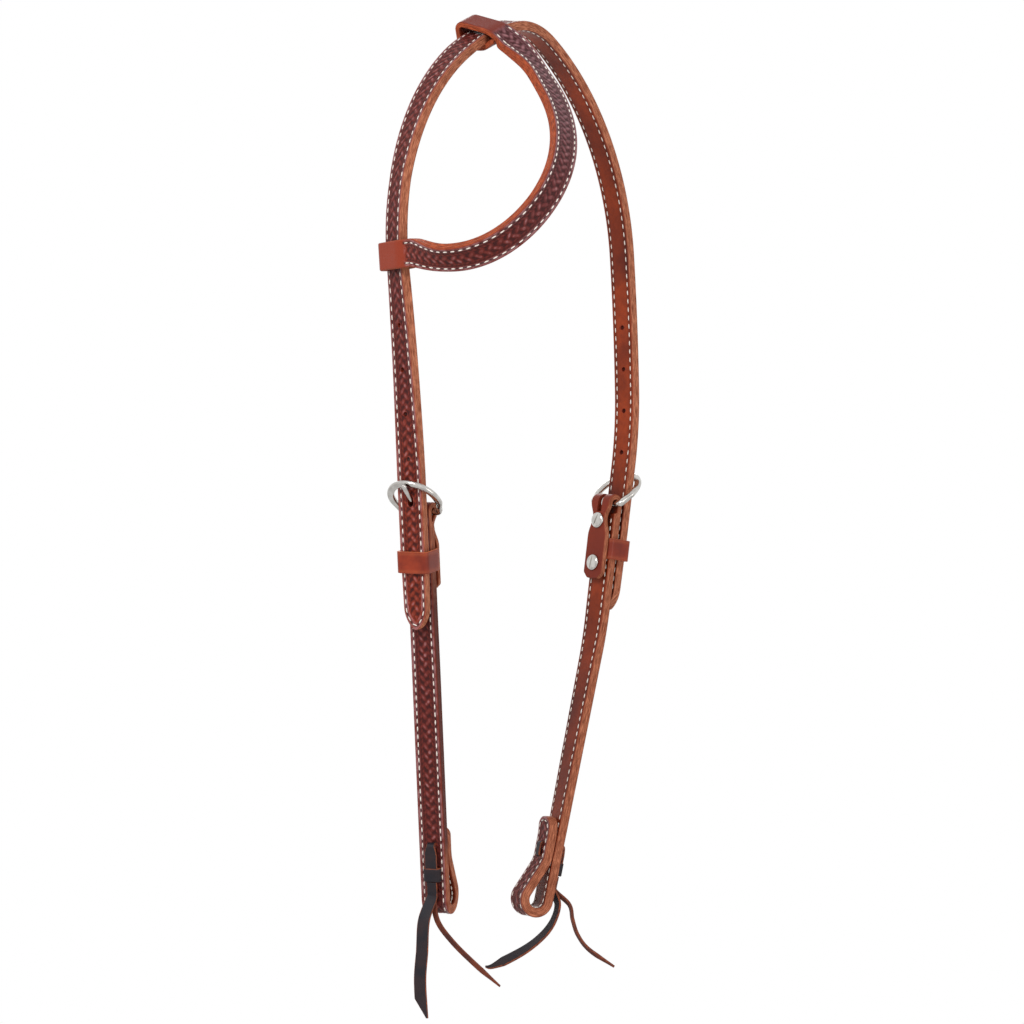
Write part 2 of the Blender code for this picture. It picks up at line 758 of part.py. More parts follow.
def poly_tube(name, points, diameter, closed, resolution=2):
    """A round bar along points in its own XY plane."""
    curve = bpy.data.curves.new(name, "CURVE")
    curve.dimensions = "3D"
    curve.bevel_depth = diameter / 2
    curve.bevel_resolution = resolution
    curve.use_fill_caps = True
    spline = curve.splines.new("POLY")
    spline.points.add(len(points) - 1)
    for place, (x, y) in zip(spline.points, points):
        place.co = (x, y, 0.0, 1.0)
    spline.use_cyclic_u = closed
    return curve


def build_buckle_frame(crown):
    """A round bow closed by a straight heel bar, all one wire, hung on the heel bar's axis."""
    centre = BUCKLE_LENGTH - BOW_RADIUS
    low = math.degrees(math.asin(centre / BOW_RADIUS)) - HEEL_CORNER_TURN
    points = []
    for i in range(BOW_STEPS + 1):
        angle = math.radians(-low + (180.0 + 2 * low) * i / BOW_STEPS)
        points.append((BOW_RADIUS * math.cos(angle), centre + BOW_RADIUS * math.sin(angle)))
    heel_half = math.sqrt(BOW_RADIUS**2 - centre**2) - WIRE_DIAMETER / 2
    points += [(-heel_half, 0.0), (heel_half, 0.0)]
    name = crown.name + "_buckle_frame"
    rise, _ = frame_direction(crown)
    curve = poly_tube(name, points, WIRE_DIAMETER, True)
    add_object(name, curve, NICKEL, basis(crown.bar, crown.heel.front, rise))


def build_tongue(crown):
    """A bar that hooks round the heel bar, comes through the billet and rests on the bow."""
    points = []
    for i in range(HOOK_STEPS + 1):
        angle = math.radians(90.0 + TONGUE_HOOK_TURN * (1 - i / HOOK_STEPS))
        points.append((TONGUE_OFFSET * math.cos(angle), TONGUE_OFFSET * math.sin(angle)))
    points.append((BUCKLE_LENGTH + TONGUE_OVERHANG, TONGUE_OFFSET))
    name = crown.name + "_buckle_tongue"
    rise, drop = frame_direction(crown)
    curve = poly_tube(name, points, TONGUE_DIAMETER, False)
    tongue = add_object(name, curve, NICKEL, basis(crown.bar, rise, drop))
    weld = tongue.modifiers.new("caps", "WELD")
    weld.merge_threshold = MERGE_DISTANCE


# Chicago screws


def turned(name, profile, finish, matrix):
    """A turned piece from half its outline, run down the outer side from the top."""
    mesh = bpy.data.meshes.new(name)
    edges = [(i, i + 1) for i in range(len(profile) - 1)]
    mesh.from_pydata([(r, 0.0, z) for r, z in profile], edges, [])
    made = add_object(name, mesh, finish, matrix)
    lathe = made.modifiers.new("lathe", "SCREW")
    lathe.steps = ROUND_SIDES
    lathe.render_steps = ROUND_SIDES
    lathe.use_merge_vertices = True
    lathe.merge_threshold = MERGE_DISTANCE
    lathe.use_smooth_shade = True
    return made


def build_screws(crown):
    """Each fastening is a domed screw at the back and a flanged post at the front."""
    cap, post = CAP_DIAMETER / 2, POST_DIAMETER / 2
    shank = SHANK_DIAMETER / 2
    bore = shank + TOUCH_GAP
    front = CHEEK_DEPTH + OUTER_FACE + TOUCH_GAP
    back = CHAPE_BACK - TOUCH_GAP
    length = front - back
    dome = [(cap * math.sin(a), CAP_RIM + (CAP_HEIGHT - CAP_RIM) * math.cos(a)) for a in DOME_ANGLES]
    screw_profile = dome + [(cap, 0.0), (shank, 0.0)]
    screw_profile += [(shank, POST_END_WALL + TOUCH_GAP - length), (0.0, POST_END_WALL + TOUCH_GAP - length)]
    tube_end = -(length - TOUCH_GAP)
    post_profile = [(0.0, FLANGE_THICKNESS), (cap, FLANGE_THICKNESS), (cap, 0.0), (post, 0.0)]
    post_profile += [(post, tube_end), (bore, tube_end), (bore, -POST_END_WALL), (0.0, -POST_END_WALL)]
    for word, place in screw_stations(crown):
        outwards = np.cross(place.normal, place.front)
        at_back = basis(place.at(outward=back), place.front, -outwards)
        at_front = basis(place.at(outward=front), place.front, outwards)
        turned(crown.name + "_" + word + "_screw", screw_profile, NICKEL, at_back)
        turned(crown.name + "_" + word + "_post", post_profile, NICKEL, at_front)


# Ear piece


def linked(start, end, steps=4):
    """Stations of a smooth strap run from one station to another in the same plane, with the last one."""
    reach = np.linalg.norm(end.point - start.point) / 3
    points = [start.point, start.at(onward=reach), end.at(onward=-reach), end.point]
    sense = math.copysign(1.0, np.dot(np.cross(start.front, start.along), start.normal))
    stations = []
    for i in range(1, steps):
        point, along = bezier(points, i / steps)
        stations.append(Station(point, along, sense * np.cross(start.front, along), start.front))
    return stations + [end]


def ear_loop(place, tilt, leave):
    """From the return end back under the crown, round its rear edge and over it to where the ear leaves.

    The band over the crown's face rises to the rear by the tilt, in degrees.
    """
    corner = LOOP_CORNER - SEAM_GAP / 2
    clear = LOOP_CLEARANCE - SEAM_GAP / 2
    fillet = corner * math.tan(math.radians(90.0 + tilt) / 2)
    span = STRAP_WIDTH + clear
    rise = OUTER_FACE - LINING_FACE + 2 * clear + span * math.tan(math.radians(tilt))
    below = place.at(outward=LINING_FACE - clear, forward=HALF_WIDTH / 2)
    under = Station(below, -place.front, -place.normal, leave.front)
    tip = bend_on(leave.reversed(), 0.0, -RETURN_WEDGE, steps=1)[0]
    stations = [tip] + linked(tip, under)
    stations += bend_on(under, HALF_WIDTH / 2 + HALF_WIDTH + clear - corner, steps=1)
    stations += bend_on(stations[-1], corner * math.pi / 2, 90.0, steps=3)
    stations += bend_on(stations[-1], rise - corner - fillet, steps=1)
    stations += bend_on(stations[-1], corner * math.radians(90.0 + tilt), 90.0 + tilt, steps=3)
    stations += bend_on(stations[-1], span / math.cos(math.radians(tilt)) - fillet, steps=2)
    return stations + linked(stations[-1], leave)


def bezier(points, t):
    """The point and the direction at a share t of a Bezier curve."""
    levels = [np.array(points, dtype=float)]
    while len(levels[-1]) > 1:
        last = levels[-1]
        levels.append((1 - t) * last[:-1] + t * last[1:])
    direction = levels[-2][1] - levels[-2][0]
    return levels[-1][0], direction / np.linalg.norm(direction)


def smooth_share(x):
    x = min(max(x, 0.0), 1.0)
    return x * x * (3 - 2 * x)


def ear_route(lower, upper):
    """Stations of the ear piece between its two joins, facing outwards from the middle of the ear."""
    points = [lower.point, lower.at(onward=EAR_LEAD)]
    points += [leaned(np.array(shares) * ARCH_RADIUS) for shares in EAR_POINT_SHARES]
    points += [upper.at(onward=-EAR_LEAD), upper.point]
    middle = leaned(np.array(EAR_CENTRE_SHARES) * ARCH_RADIUS)
    stations = []
    for i in range(EAR_STEPS + 1):
        t = i / EAR_STEPS
        point, along = bezier(points, t)
        first = 1.0 - smooth_share(t / EAR_BLEND_SHARE)
        last = smooth_share((t - 1.0 + EAR_BLEND_SHARE) / EAR_BLEND_SHARE)
        outward = (point - middle) / np.linalg.norm(point - middle)
        normal = first * lower.normal + last * upper.normal + (1.0 - first - last) * outward
        normal = normal - np.dot(normal, along) * along
        normal = normal / np.linalg.norm(normal)
        stations.append(Station(point, along, normal, np.cross(along, normal)))
    return stations


def leaving_station(place, tilt, drop, sense):
    """Where the ear leaves a loop, turned down from the crown's face by the tilt, in degrees."""
    rise = (OUTER_FACE + LINING_FACE) / 2 + EAR_SEAM_RISE - drop
    point = place.at(outward=rise, forward=LOOP_FRONT + EAR_JOIN_LENGTH)
    side = sense * np.cross(place.front, place.normal)
    level = Station(point, place.front, place.normal, side)
    return bend_on(level, 0.0, tilt, steps=1)[0]


def build_ear():
    """The ear piece: one outer layer whose ends wrap the crown, and a lining between the wraps."""
    low, centre = arch_station(LOWER_LOOP_TURN)
    top, _ = arch_station(TOP_LOOP_TURN)
    leaving = leaving_station(low, 0.0, 0.0, 1.0)
    leaving_top = leaving_station(top, TOP_LEAVE_TILT, TOP_LEAVE_DROP, -1.0)
    head = ear_loop(low, 0.0, leaving)
    tail = ear_loop(top, TOP_BAND_TILT, leaving_top)[::-1]
    arriving = leaving_top.moved()
    arriving.along = -leaving_top.along
    route = ear_route(leaving, arriving)
    outer = outer_layer("ear_outer", head + route[1:-1] + tail)
    lining = lining_layer("ear_lining", route[1:-1])
    for layer in (outer, lining):
        recentre(layer, Matrix.Translation(Vector(centre)))


# Ties


def thong_slots(crown, start):
    """Two slots through both legs above the bit loop."""
    width = THONG_WIDTH + 2 * SLOT_CLEARANCE
    height = THONG_THICKNESS + 2 * SLOT_CLEARANCE
    depth = OUTER_FACE + LEG_SPACING + OUTER_FACE + 2 * CUT_OVERRUN
    cutters = []
    for word, above in (("upper", UPPER_SLOT_ABOVE_LOOP), ("lower", LOWER_SLOT_ABOVE_LOOP)):
        name = crown.name + "_" + word + "_thong_cutter"
        matrix = across(start, outward=-LEG_SPACING / 2, onward=-above)
        cutters.append(prism_cutter(name, matrix, width, height, depth, 4))
    return cutters


def build_tie(crown, start):
    """A thong through both slots, its two ends held under one turn on the cheek's face."""
    under = OUTER_FACE + TOUCH_GAP + THONG_THICKNESS / 2
    over = under + THONG_THICKNESS + TOUCH_GAP
    back = -LEG_SPACING - OUTER_FACE - TOUCH_GAP - THONG_THICKNESS / 2
    drop = (NEAR_COLLAR_DROP if crown.side == NEAR else OFF_COLLAR_DROP) - LOWER_SLOT_ABOVE_LOOP
    hidden = COLLAR_LENGTH / 2
    arc = THONG_BEND * math.pi / 2
    place = start.moved(outward=over, onward=drop + hidden)
    first = Station(place.point, -place.along, place.normal, place.front, THONG_WIDTH / 2)
    path = [first]
    path += bend_on(path[-1], drop + hidden + UPPER_SLOT_ABOVE_LOOP - THONG_BEND, steps=2)
    path += bend_on(path[-1], arc, 90.0, steps=3)
    path += bend_on(path[-1], over - back - 2 * THONG_BEND, steps=1)
    path += bend_on(path[-1], arc, 90.0, steps=3)
    path += bend_on(path[-1], UPPER_SLOT_ABOVE_LOOP - LOWER_SLOT_ABOVE_LOOP - 2 * THONG_BEND, steps=1)
    path += bend_on(path[-1], arc, 90.0, steps=3)
    path += bend_on(path[-1], under - back - 2 * THONG_BEND, steps=1)
    path += bend_on(path[-1], arc, -90.0, steps=3)
    path += bend_on(path[-1], drop + hidden + LOWER_SLOT_ABOVE_LOOP - THONG_BEND, steps=1)
    tie = ribbon(crown.name + "_tie", path, -THONG_THICKNESS / 2, THONG_THICKNESS, LACE)
    height = over - under + THONG_THICKNESS + COLLAR_WALL - SEAM_GAP / 2
    foot = OUTER_FACE + TOUCH_GAP + SEAM_GAP / 2
    centre = start.moved(outward=foot + height / 2, onward=drop + COLLAR_LENGTH / 2)
    block = prism_cutter(
        crown.name + "_tie_turn", across(centre), COLLAR_WIDTH, COLLAR_LENGTH, height, 4
    )
    soften(block, EDGE_ROUND)
    join = tie.modifiers.new("turn", "BOOLEAN")
    join.operation = "UNION"
    join.solver = "EXACT"
    join.object = block
    lower_end = drop + COLLAR_LENGTH + TOUCH_GAP
    return start.moved(outward=over, onward=lower_end), start.moved(outward=under, onward=lower_end)


def hanging_route(start, places):
    """Points of a free tail from its start: sideways in the picture plane, outwards and down."""
    sideways = np.array((math.cos(TAIL_PLANE_TURN), math.sin(TAIL_PLANE_TURN), 0.0))
    outwards = np.array((math.sin(TAIL_PLANE_TURN), -math.cos(TAIL_PLANE_TURN), 0.0))
    down = np.array((0.0, 0.0, -1.0))
    return [start.point + a * sideways + b * outwards + c * down for a, b, c in places]


def spline_stations(points, facing, widths, steps):
    """Stations of a flat tail: straight between its first two points, then on a smooth curve through the rest."""
    padded = points + [2 * points[-1] - points[-2]]
    spans = len(points) - 2
    along = (points[1] - points[0]) / np.linalg.norm(points[1] - points[0])
    first = Station(points[0], along, facing, np.cross(along, facing), widths[0][1] / 2)
    stations = [first]
    for i in range(steps + 1):
        share = i / steps
        place = share * spans
        k = min(int(place), spans - 1)
        t = place - k
        a, b, c, d = padded[k : k + 4]
        point = 0.5 * (
            2 * b + (c - a) * t + (2 * a - 5 * b + 4 * c - d) * t**2 + (3 * b - a - 3 * c + d) * t**3
        )
        along = 0.5 * (
            (c - a) + 2 * (2 * a - 5 * b + 4 * c - d) * t + 3 * (3 * b - a - 3 * c + d) * t**2
        )
        along = along / np.linalg.norm(along)
        normal = facing - np.dot(facing, along) * along
        normal = normal / np.linalg.norm(normal)
        width = float(np.interp(share, [w[0] for w in widths], [w[1] for w in widths]))
        stations.append(Station(point, along, normal, np.cross(along, normal), width / 2))
    return stations


def build_tail(name, start, places, widths, thickness, steps):
    """A flat leather tail that hangs free below the tie."""
    points = [start.point, start.at(onward=TAIL_LEAD)] + hanging_route(start, places)
    stations = spline_stations(points, start.normal, widths, steps)
    tail = ribbon(name, stations, -thickness / 2, thickness, LACE)
    recentre(tail, Matrix.Translation(Vector(start.point)))


def build_tails(crown, over, under):
    """The near blade hangs from the upper strand and the off blade from the one below it."""
    blade_places, tail_places = NEAR_BLADE_POINTS, NEAR_TAIL_POINTS
    blade_start, tail_start = over, under
    if crown.side == OFF:
        blade_places, tail_places = OFF_BLADE_POINTS, OFF_TAIL_POINTS
        blade_start, tail_start = under, over
    blade_widths = ((0.0, THONG_WIDTH), (BLADE_FULL_SHARE, BLADE_WIDTH), (BLADE_TIP_SHARE, BLADE_WIDTH))
    blade_widths += ((1.0, TIP_NOSE_SHARE * BLADE_WIDTH),)
    tail_widths = ((0.0, TAIL_WIDTH), (TAIL_TIP_SHARE, TAIL_WIDTH), (1.0, TIP_NOSE_SHARE * TAIL_WIDTH))
    build_tail(crown.name + "_tie_blade", blade_start, blade_places, blade_widths, THONG_THICKNESS, 16)
    build_tail(crown.name + "_tie_tail", tail_start, tail_places, tail_widths, TAIL_THICKNESS, 16)


clear_scene()
PARTS = new_collection("western_headstall")
CUTTERS = new_collection("cutters")
near_side = crown_side(NEAR, "near")
off_side = crown_side(OFF, "off")
build_crown(near_side, off_side)
build_ear()
for crown_half in (near_side, off_side):
    loop_start = build_cheek(crown_half)
    build_keeper(crown_half)
    build_buckle_frame(crown_half)
    build_tongue(crown_half)
    build_screws(crown_half)
    build_tails(crown_half, *build_tie(crown_half, loop_start))
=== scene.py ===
"""Western headstall, dressed and hung by its crown.

Tooled and stitched leather straps, bright nickel buckles and laced ties.
"""

import logging
import math
from dataclasses import dataclass, field, replace
from enum import Enum
from typing import Optional, Sequence

import bmesh
import bpy
import numpy as np
from bmesh.types import BMesh
from bpy.types import Material, Mesh, Node, NodeSocket, NodeTree, Object
from mathutils import Matrix, Vector


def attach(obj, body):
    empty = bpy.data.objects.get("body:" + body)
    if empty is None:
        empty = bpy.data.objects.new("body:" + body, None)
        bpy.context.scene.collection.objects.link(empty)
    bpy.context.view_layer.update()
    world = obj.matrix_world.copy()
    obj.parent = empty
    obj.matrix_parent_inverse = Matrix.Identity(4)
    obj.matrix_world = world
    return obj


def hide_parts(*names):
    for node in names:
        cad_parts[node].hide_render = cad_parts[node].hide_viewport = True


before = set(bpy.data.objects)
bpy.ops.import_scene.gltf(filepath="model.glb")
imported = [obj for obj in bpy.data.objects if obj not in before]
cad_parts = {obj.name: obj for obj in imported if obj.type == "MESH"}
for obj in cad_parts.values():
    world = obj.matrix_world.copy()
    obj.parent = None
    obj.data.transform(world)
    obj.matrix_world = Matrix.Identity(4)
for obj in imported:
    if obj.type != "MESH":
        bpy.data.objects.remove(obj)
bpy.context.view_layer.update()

LOG = logging.getLogger("headstall")

# Straps
STRAP_WIDTH = 0.016
OUTER_THICKNESS = 0.0033
LINING_THICKNESS = 0.0021
SEAM_GAP = 0.0003
TOUCH_GAP = 0.0003
HALF_WIDTH = STRAP_WIDTH / 2
OUTER_FACE = SEAM_GAP / 2 + OUTER_THICKNESS
LINING_FACE = -SEAM_GAP / 2 - LINING_THICKNESS
SINGLE_BACK = SEAM_GAP / 2
PLANE_LEAN = 2.9

# Crown
TOP_RADIUS = 0.045
ARCH_RADIUS = 0.1383
OFF_ARCH_RADIUS = 0.153
NEAR_TOP_TURN = 10.5
TOP_LOOP_HOLD_TURN = 21.5
ARCH_TWIST_TURN = 42.0
CROWN_TOP_TWIST = 8.0
LOWER_LOOP_TWIST = -20.0
BUCKLE_TWIST = 10.0
BILLET_ABOVE_HEEL = 0.024
BILLET_BELOW_HEEL = 0.064
TIP_LENGTH = 0.0138
BILLET_POINT = 1.4
NEAR_BILLET_EXTRA = 0.0032
BILLET_TAPER = 0.0007
BILLET_TAPER_LENGTH = 0.034
HOLE_PITCH = 0.0254
HOLE_DIAMETER = 0.0028
SPARE_HOLES = 4

# Buckle zone
FLANGE_THICKNESS = 0.0012
CHAPE_BELOW_HEEL = 0.0462
KEEPER_WIDTH = 0.0126
KEEPER_THICKNESS = 0.0016
KEEPER_CORNER = 0.0014
WIRE_DIAMETER = 0.0034
BUCKLE_LENGTH = 0.025
BOW_RADIUS = 0.0146
BUCKLE_TILT = 42.0
TONGUE_DIAMETER = 0.0024
LINING_BELOW_HEEL = 0.0052
UPPER_SCREW_BELOW_HEEL = 0.011
SCREW_SPACING = 0.0257
LOWER_SCREW_BELOW_HEEL = UPPER_SCREW_BELOW_HEEL + SCREW_SPACING
POST_DIAMETER = 0.0052
CHEEK_DEPTH = LINING_FACE - TOUCH_GAP - FLANGE_THICKNESS - TOUCH_GAP - OUTER_FACE
KEEPER_ROOM = LINING_THICKNESS + SEAM_GAP + TOUCH_GAP + KEEPER_THICKNESS + TOUCH_GAP
FOLD_SLACK = 0.0006
FOLD_INNER_RADIUS = max(WIRE_DIAMETER / 2 + FOLD_SLACK, KEEPER_ROOM / 2)
HEEL_DEPTH = CHEEK_DEPTH + SEAM_GAP / 2 - FOLD_INNER_RADIUS
FOLD_RADIUS = CHEEK_DEPTH - HEEL_DEPTH
CHAPE_SEAM = HEEL_DEPTH - FOLD_RADIUS
CHAPE_BACK = CHAPE_SEAM - OUTER_FACE
TONGUE_OFFSET = WIRE_DIAMETER / 2 + TOUCH_GAP + TONGUE_DIAMETER / 2
LEG_SPACING = 2 * -LINING_FACE + TOUCH_GAP

# Ties
THONG_WIDTH = 0.005
THONG_THICKNESS = 0.0015
THONG_BEND = 0.0013
UPPER_SLOT_ABOVE_LOOP = 0.0112
LOWER_SLOT_ABOVE_LOOP = 0.0034
COLLAR_WIDTH = 0.0105
COLLAR_LENGTH = 0.0082
COLLAR_WALL = 0.0006
TAIL_PLANE_TURN = math.radians(-52.5)
TAIL_LEAD = 0.008

# Sampling
FINE_STEP = 0.002
ROW_STEP = 0.00058
MERGE_DISTANCE = 0.000002
NOSE_SHARE = 0.22
NOSE_MARKS = 25
STRAP_CREASE = 70.0


class Side(Enum):
    """The horse's two sides."""

    NEAR = -1
    OFF = 1

    @property
    def word(self) -> str:
        """The side as it stands in piece names."""
        return self.name.lower()


# Courses that the straps follow


@dataclass(frozen=True)
class Leg:
    """A stretch of strap: its length, and its turn down, sway back and twist in degrees."""

    length: float
    turn: float = 0.0
    sway: float = 0.0
    twist: float = 0.0


@dataclass
class Station:
    """One place along a strap: a point on its seam, three directions and its half width."""

    point: np.ndarray
    along: np.ndarray
    normal: np.ndarray
    front: np.ndarray
    half_width: float = HALF_WIDTH

    def at(self, outward: float = 0.0, forward: float = 0.0, onward: float = 0.0) -> np.ndarray:
        """A point set off from the station along its own directions."""
        return self.point + outward * self.normal + forward * self.front + onward * self.along

    def moved(self, outward: float = 0.0, forward: float = 0.0, onward: float = 0.0) -> "Station":
        """The same directions at a point set off from the station."""
        return replace(self, point=self.at(outward, forward, onward))

    def reversed(self) -> "Station":
        """The same place seen from the other face, walking the other way."""
        return replace(self, along=-self.along, normal=-self.normal)

    def rolled(self, degrees: float) -> "Station":
        """The same place rolled about its own run.

        Args:
            degrees: the angle.

        Returns:
            The rolled station.
        """
        a = math.radians(degrees)
        normal = math.cos(a) * self.normal + math.sin(a) * self.front
        front = math.cos(a) * self.front - math.sin(a) * self.normal
        return replace(self, normal=normal, front=front)

    def narrowed(self, half_width: float) -> "Station":
        """The same place with another half width."""
        return replace(self, half_width=half_width)

    @classmethod
    def facing(cls, point: np.ndarray, along: np.ndarray, facing: np.ndarray) -> "Station":
        """A station that faces a direction as nearly as its run allows.

        Args:
            point: where it stands.
            along: its run.
            facing: the direction.

        Returns:
            The station.
        """
        normal = facing - np.dot(facing, along) * along
        normal = normal / np.linalg.norm(normal)
        return cls(point, along, normal, np.cross(along, normal))


def heading(turn: float, sway: float) -> np.ndarray:
    """The direction of a strap that has turned and swayed by these degrees."""
    t, s = math.radians(turn), math.radians(sway)
    return np.array((math.cos(t) * math.cos(s), math.sin(s), -math.sin(t) * math.cos(s)))


def leaned(vector: np.ndarray) -> np.ndarray:
    """Leans the hanging plane so that its lower parts come forward.

    Args:
        vector: the vector to lean.

    Returns:
        The leaned vector.
    """
    a = math.radians(-PLANE_LEAN)
    x, y, z = vector
    return np.array((x, y * math.cos(a) - z * math.sin(a), y * math.sin(a) + z * math.cos(a)))


def chord_steps(length: float, step: float, degrees: float) -> tuple[int, float, float]:
    """Splits an arc into equal chords.

    Args:
        length: the arc's length.
        step: the longest that a chord's arc may be.
        degrees: how far the arc bends.

    Returns:
        The number of chords, half the angle of each and the length of each.
    """
    steps = max(1, math.ceil(round(length / step, 3)))
    half = math.radians(degrees) / steps / 2
    return steps, half, length / steps * (math.sin(half) / half if half else 1.0)


@dataclass
class Walker:
    """Walks down one side of the headstall from its top and leaves stations."""

    side: Side
    point: np.ndarray
    turn: float = 0.0
    sway: float = 0.0
    twist: float = 0.0

    def placed(self, vector: np.ndarray) -> np.ndarray:
        """A vector of the flat walk, set on its side and leaned."""
        return leaned(vector * np.array((self.side.value, 1.0, 1.0)))

    def directions(self) -> tuple[np.ndarray, np.ndarray, np.ndarray]:
        """Along, outwards and forwards, before the side and the lean are applied.

        Returns:
            The three directions.
        """
        t, b = math.radians(self.turn), math.radians(self.twist)
        along = heading(self.turn, self.sway)
        radial = np.array((math.sin(t), 0.0, math.cos(t)))
        forward = np.cross(along, radial)
        normal = math.cos(b) * radial + math.sin(b) * forward
        front = math.cos(b) * forward - math.sin(b) * radial
        return along, normal, front

    def station(self) -> Station:
        """The station at which the walker stands."""
        return Station(*(self.placed(v) for v in (self.point, *self.directions())))

    def shift_out(self, distance: float) -> None:
        """Steps outwards from the strap."""
        self.point = self.point + distance * self.directions()[1]

    def walk(self, leg: Leg) -> list[Station]:
        """Walks one leg.

        Args:
            leg: the stretch to walk.

        Returns:
            The stations passed, the leg's end last.
        """
        steps, _, chord = chord_steps(leg.length, FINE_STEP, math.hypot(leg.turn, leg.sway))
        stations = []
        for _ in range(steps):
            middle = heading(self.turn + leg.turn / steps / 2, self.sway + leg.sway / steps / 2)
            self.point = self.point + chord * middle
            self.turn += leg.turn / steps
            self.sway += leg.sway / steps
            self.twist += leg.twist / steps
            stations.append(self.station())
        return stations

    def walk_all(self, legs: Sequence[Leg]) -> list[Station]:
        """Walks several legs one after the other."""
        return [station for leg in legs for station in self.walk(leg)]


def arc_leg(radius: float, turn: float, twist: float = 0.0) -> Leg:
    """A leg bent to a radius through a turn in degrees."""
    return Leg(radius * math.radians(turn), turn, 0.0, twist)


def bend_on(
    station: Station, length: float, bend: float = 0.0, step: float = 0.0006
) -> list[Station]:
    """Carries a strap on in its own plane.

    Args:
        station: where it goes on from.
        length: how far it goes.
        bend: degrees, positive where it curls away from its outer face.
        step: the distance between stations.

    Returns:
        The stations after the first.
    """
    steps, half, chord = chord_steps(length, step, bend)
    stations = []
    for _ in range(steps):
        middle = math.cos(half) * station.along - math.sin(half) * station.normal
        turned = math.cos(2 * half) * station.along - math.sin(2 * half) * station.normal
        normal = math.cos(2 * half) * station.normal + math.sin(2 * half) * station.along
        point = station.point + chord * middle
        station = replace(station, point=point, along=turned, normal=normal)
        stations.append(station)
    return stations


def bend_through(station: Station, *bends: tuple[float, ...]) -> list[Station]:
    """Carries a strap on through several bends.

    Args:
        station: where it goes on from.
        bends: the length, bend and step of each, as bend_on takes them.

    Returns:
        The stations after the first.
    """
    stations = [station]
    for bend in bends:
        stations += bend_on(stations[-1], *bend)
    return stations[1:]


def rounded_tip(
    station: Station, length: float, point: float = 1.0, steps: int = 16
) -> list[Station]:
    """Stations of a round end that narrows to its nose.

    Args:
        station: where the end begins.
        length: how long it is.
        point: how pointed it is, from one up.
        steps: the number of stations.

    Returns:
        The stations, the nose last.
    """
    start = math.asin(NOSE_SHARE)
    tip = []
    for i in range(1, steps + 1):
        angle = math.pi / 2 - (math.pi / 2 - start) * i / steps
        place = station.moved(onward=length * math.cos(angle))
        tip.append(place.narrowed(station.half_width * math.sin(angle) ** point))
    return tip


def bezier(points: Sequence[np.ndarray], t: float) -> tuple[np.ndarray, np.ndarray]:
    """Reads a Bezier curve.

    Args:
        points: the curve's control points.
        t: the share passed, from 0 to 1.

    Returns:
        The point and the unit direction there.
    """
    levels = [np.array(points, dtype=float)]
    while len(levels[-1]) > 1:
        last = levels[-1]
        levels.append((1 - t) * last[:-1] + t * last[1:])
    direction = levels[-2][1] - levels[-2][0]
    return levels[-1][0], direction / np.linalg.norm(direction)


def linked(start: Station, end: Station, steps: int = 16) -> list[Station]:
    """Stations of a smooth run from one station to another in the same plane.

    Args:
        start: the station it leaves.
        end: the station it meets.
        steps: the number of stations.

    Returns:
        The stations, the end last.
    """
    reach = np.linalg.norm(end.point - start.point) / 3
    points = [start.point, start.at(onward=reach), end.at(onward=-reach), end.point]
    sense = math.copysign(1.0, np.dot(np.cross(start.front, start.along), start.normal))
    stations = []
    for i in range(1, steps):
        point, along = bezier(points, i / steps)
        stations.append(Station(point, along, sense * np.cross(start.front, along), start.front))
    return stations + [end]


def smooth_share(x: float) -> float:
    """A share from 0 to 1 that eases at both ends."""
    x = min(max(x, 0.0), 1.0)
    return x * x * (3 - 2 * x)


@dataclass
class Reading:
    """Many places along a course at once: an array for each of a station's values."""

    point: np.ndarray
    along: np.ndarray
    normal: np.ndarray
    front: np.ndarray
    half_width: np.ndarray

    def laid(self, across: np.ndarray, out: np.ndarray) -> np.ndarray:
        """The points of a section laid at every reading.

        Args:
            across: places across the strap, by reading and by column.
            out: the same places' distances outwards.

        Returns:
            The points by reading and by column.
        """
        points = self.point[:, None, :] + out[..., None] * self.normal[:, None, :]
        return points + across[..., None] * self.front[:, None, :]


class Course:
    """A strap's line as finely spaced stations, read at any length along it."""

    def __init__(self, stations: Sequence[Station]) -> None:
        """Keeps the stations as one table over their run.

        Args:
            stations: the stations in order.
        """
        points = np.array([s.point for s in stations])
        steps = np.linalg.norm(np.diff(points, axis=0), axis=1)
        self.runs = np.concatenate(([0.0], np.cumsum(steps)))
        columns = [points]
        for name in ("along", "normal", "front"):
            columns.append(np.array([getattr(s, name) for s in stations]))
        columns.append(np.array([[s.half_width] for s in stations]))
        self.table = np.hstack(columns)

    @property
    def length(self) -> float:
        """The whole length of the course."""
        return float(self.runs[-1])

    def run_near(self, point: np.ndarray, after: float = 0.0) -> float:
        """The run of the station nearest to a point, past a given run.

        Args:
            point: the point.
            after: the least run.

        Returns:
            The run in metres.
        """
        gaps = np.linalg.norm(self.table[:, :3] - point, axis=1)
        gaps[self.runs < after] = np.inf
        return float(self.runs[int(np.argmin(gaps))])

    def read(self, runs: np.ndarray) -> Reading:
        """Reads the course.

        Args:
            runs: lengths from the first station.

        Returns:
            The places at those lengths.
        """
        runs = np.atleast_1d(runs)
        values = np.stack([np.interp(runs, self.runs, column) for column in self.table.T], axis=-1)
        parts = [values[..., i : i + 3] for i in (0, 3, 6, 9)]
        for part in parts[1:]:
            part /= np.linalg.norm(part, axis=-1, keepdims=True)
        return Reading(parts[0], parts[1], parts[2], parts[3], values[..., 12])


# Meshes


def mesh_from(bm: BMesh, name: str) -> Mesh:
    """Turns a bmesh into a named mesh and frees it.

    Args:
        bm: the bmesh.
        name: the mesh's name.

    Returns:
        The mesh.
    """
    mesh = bpy.data.meshes.new(name)
    bm.to_mesh(mesh)
    bm.free()
    return mesh


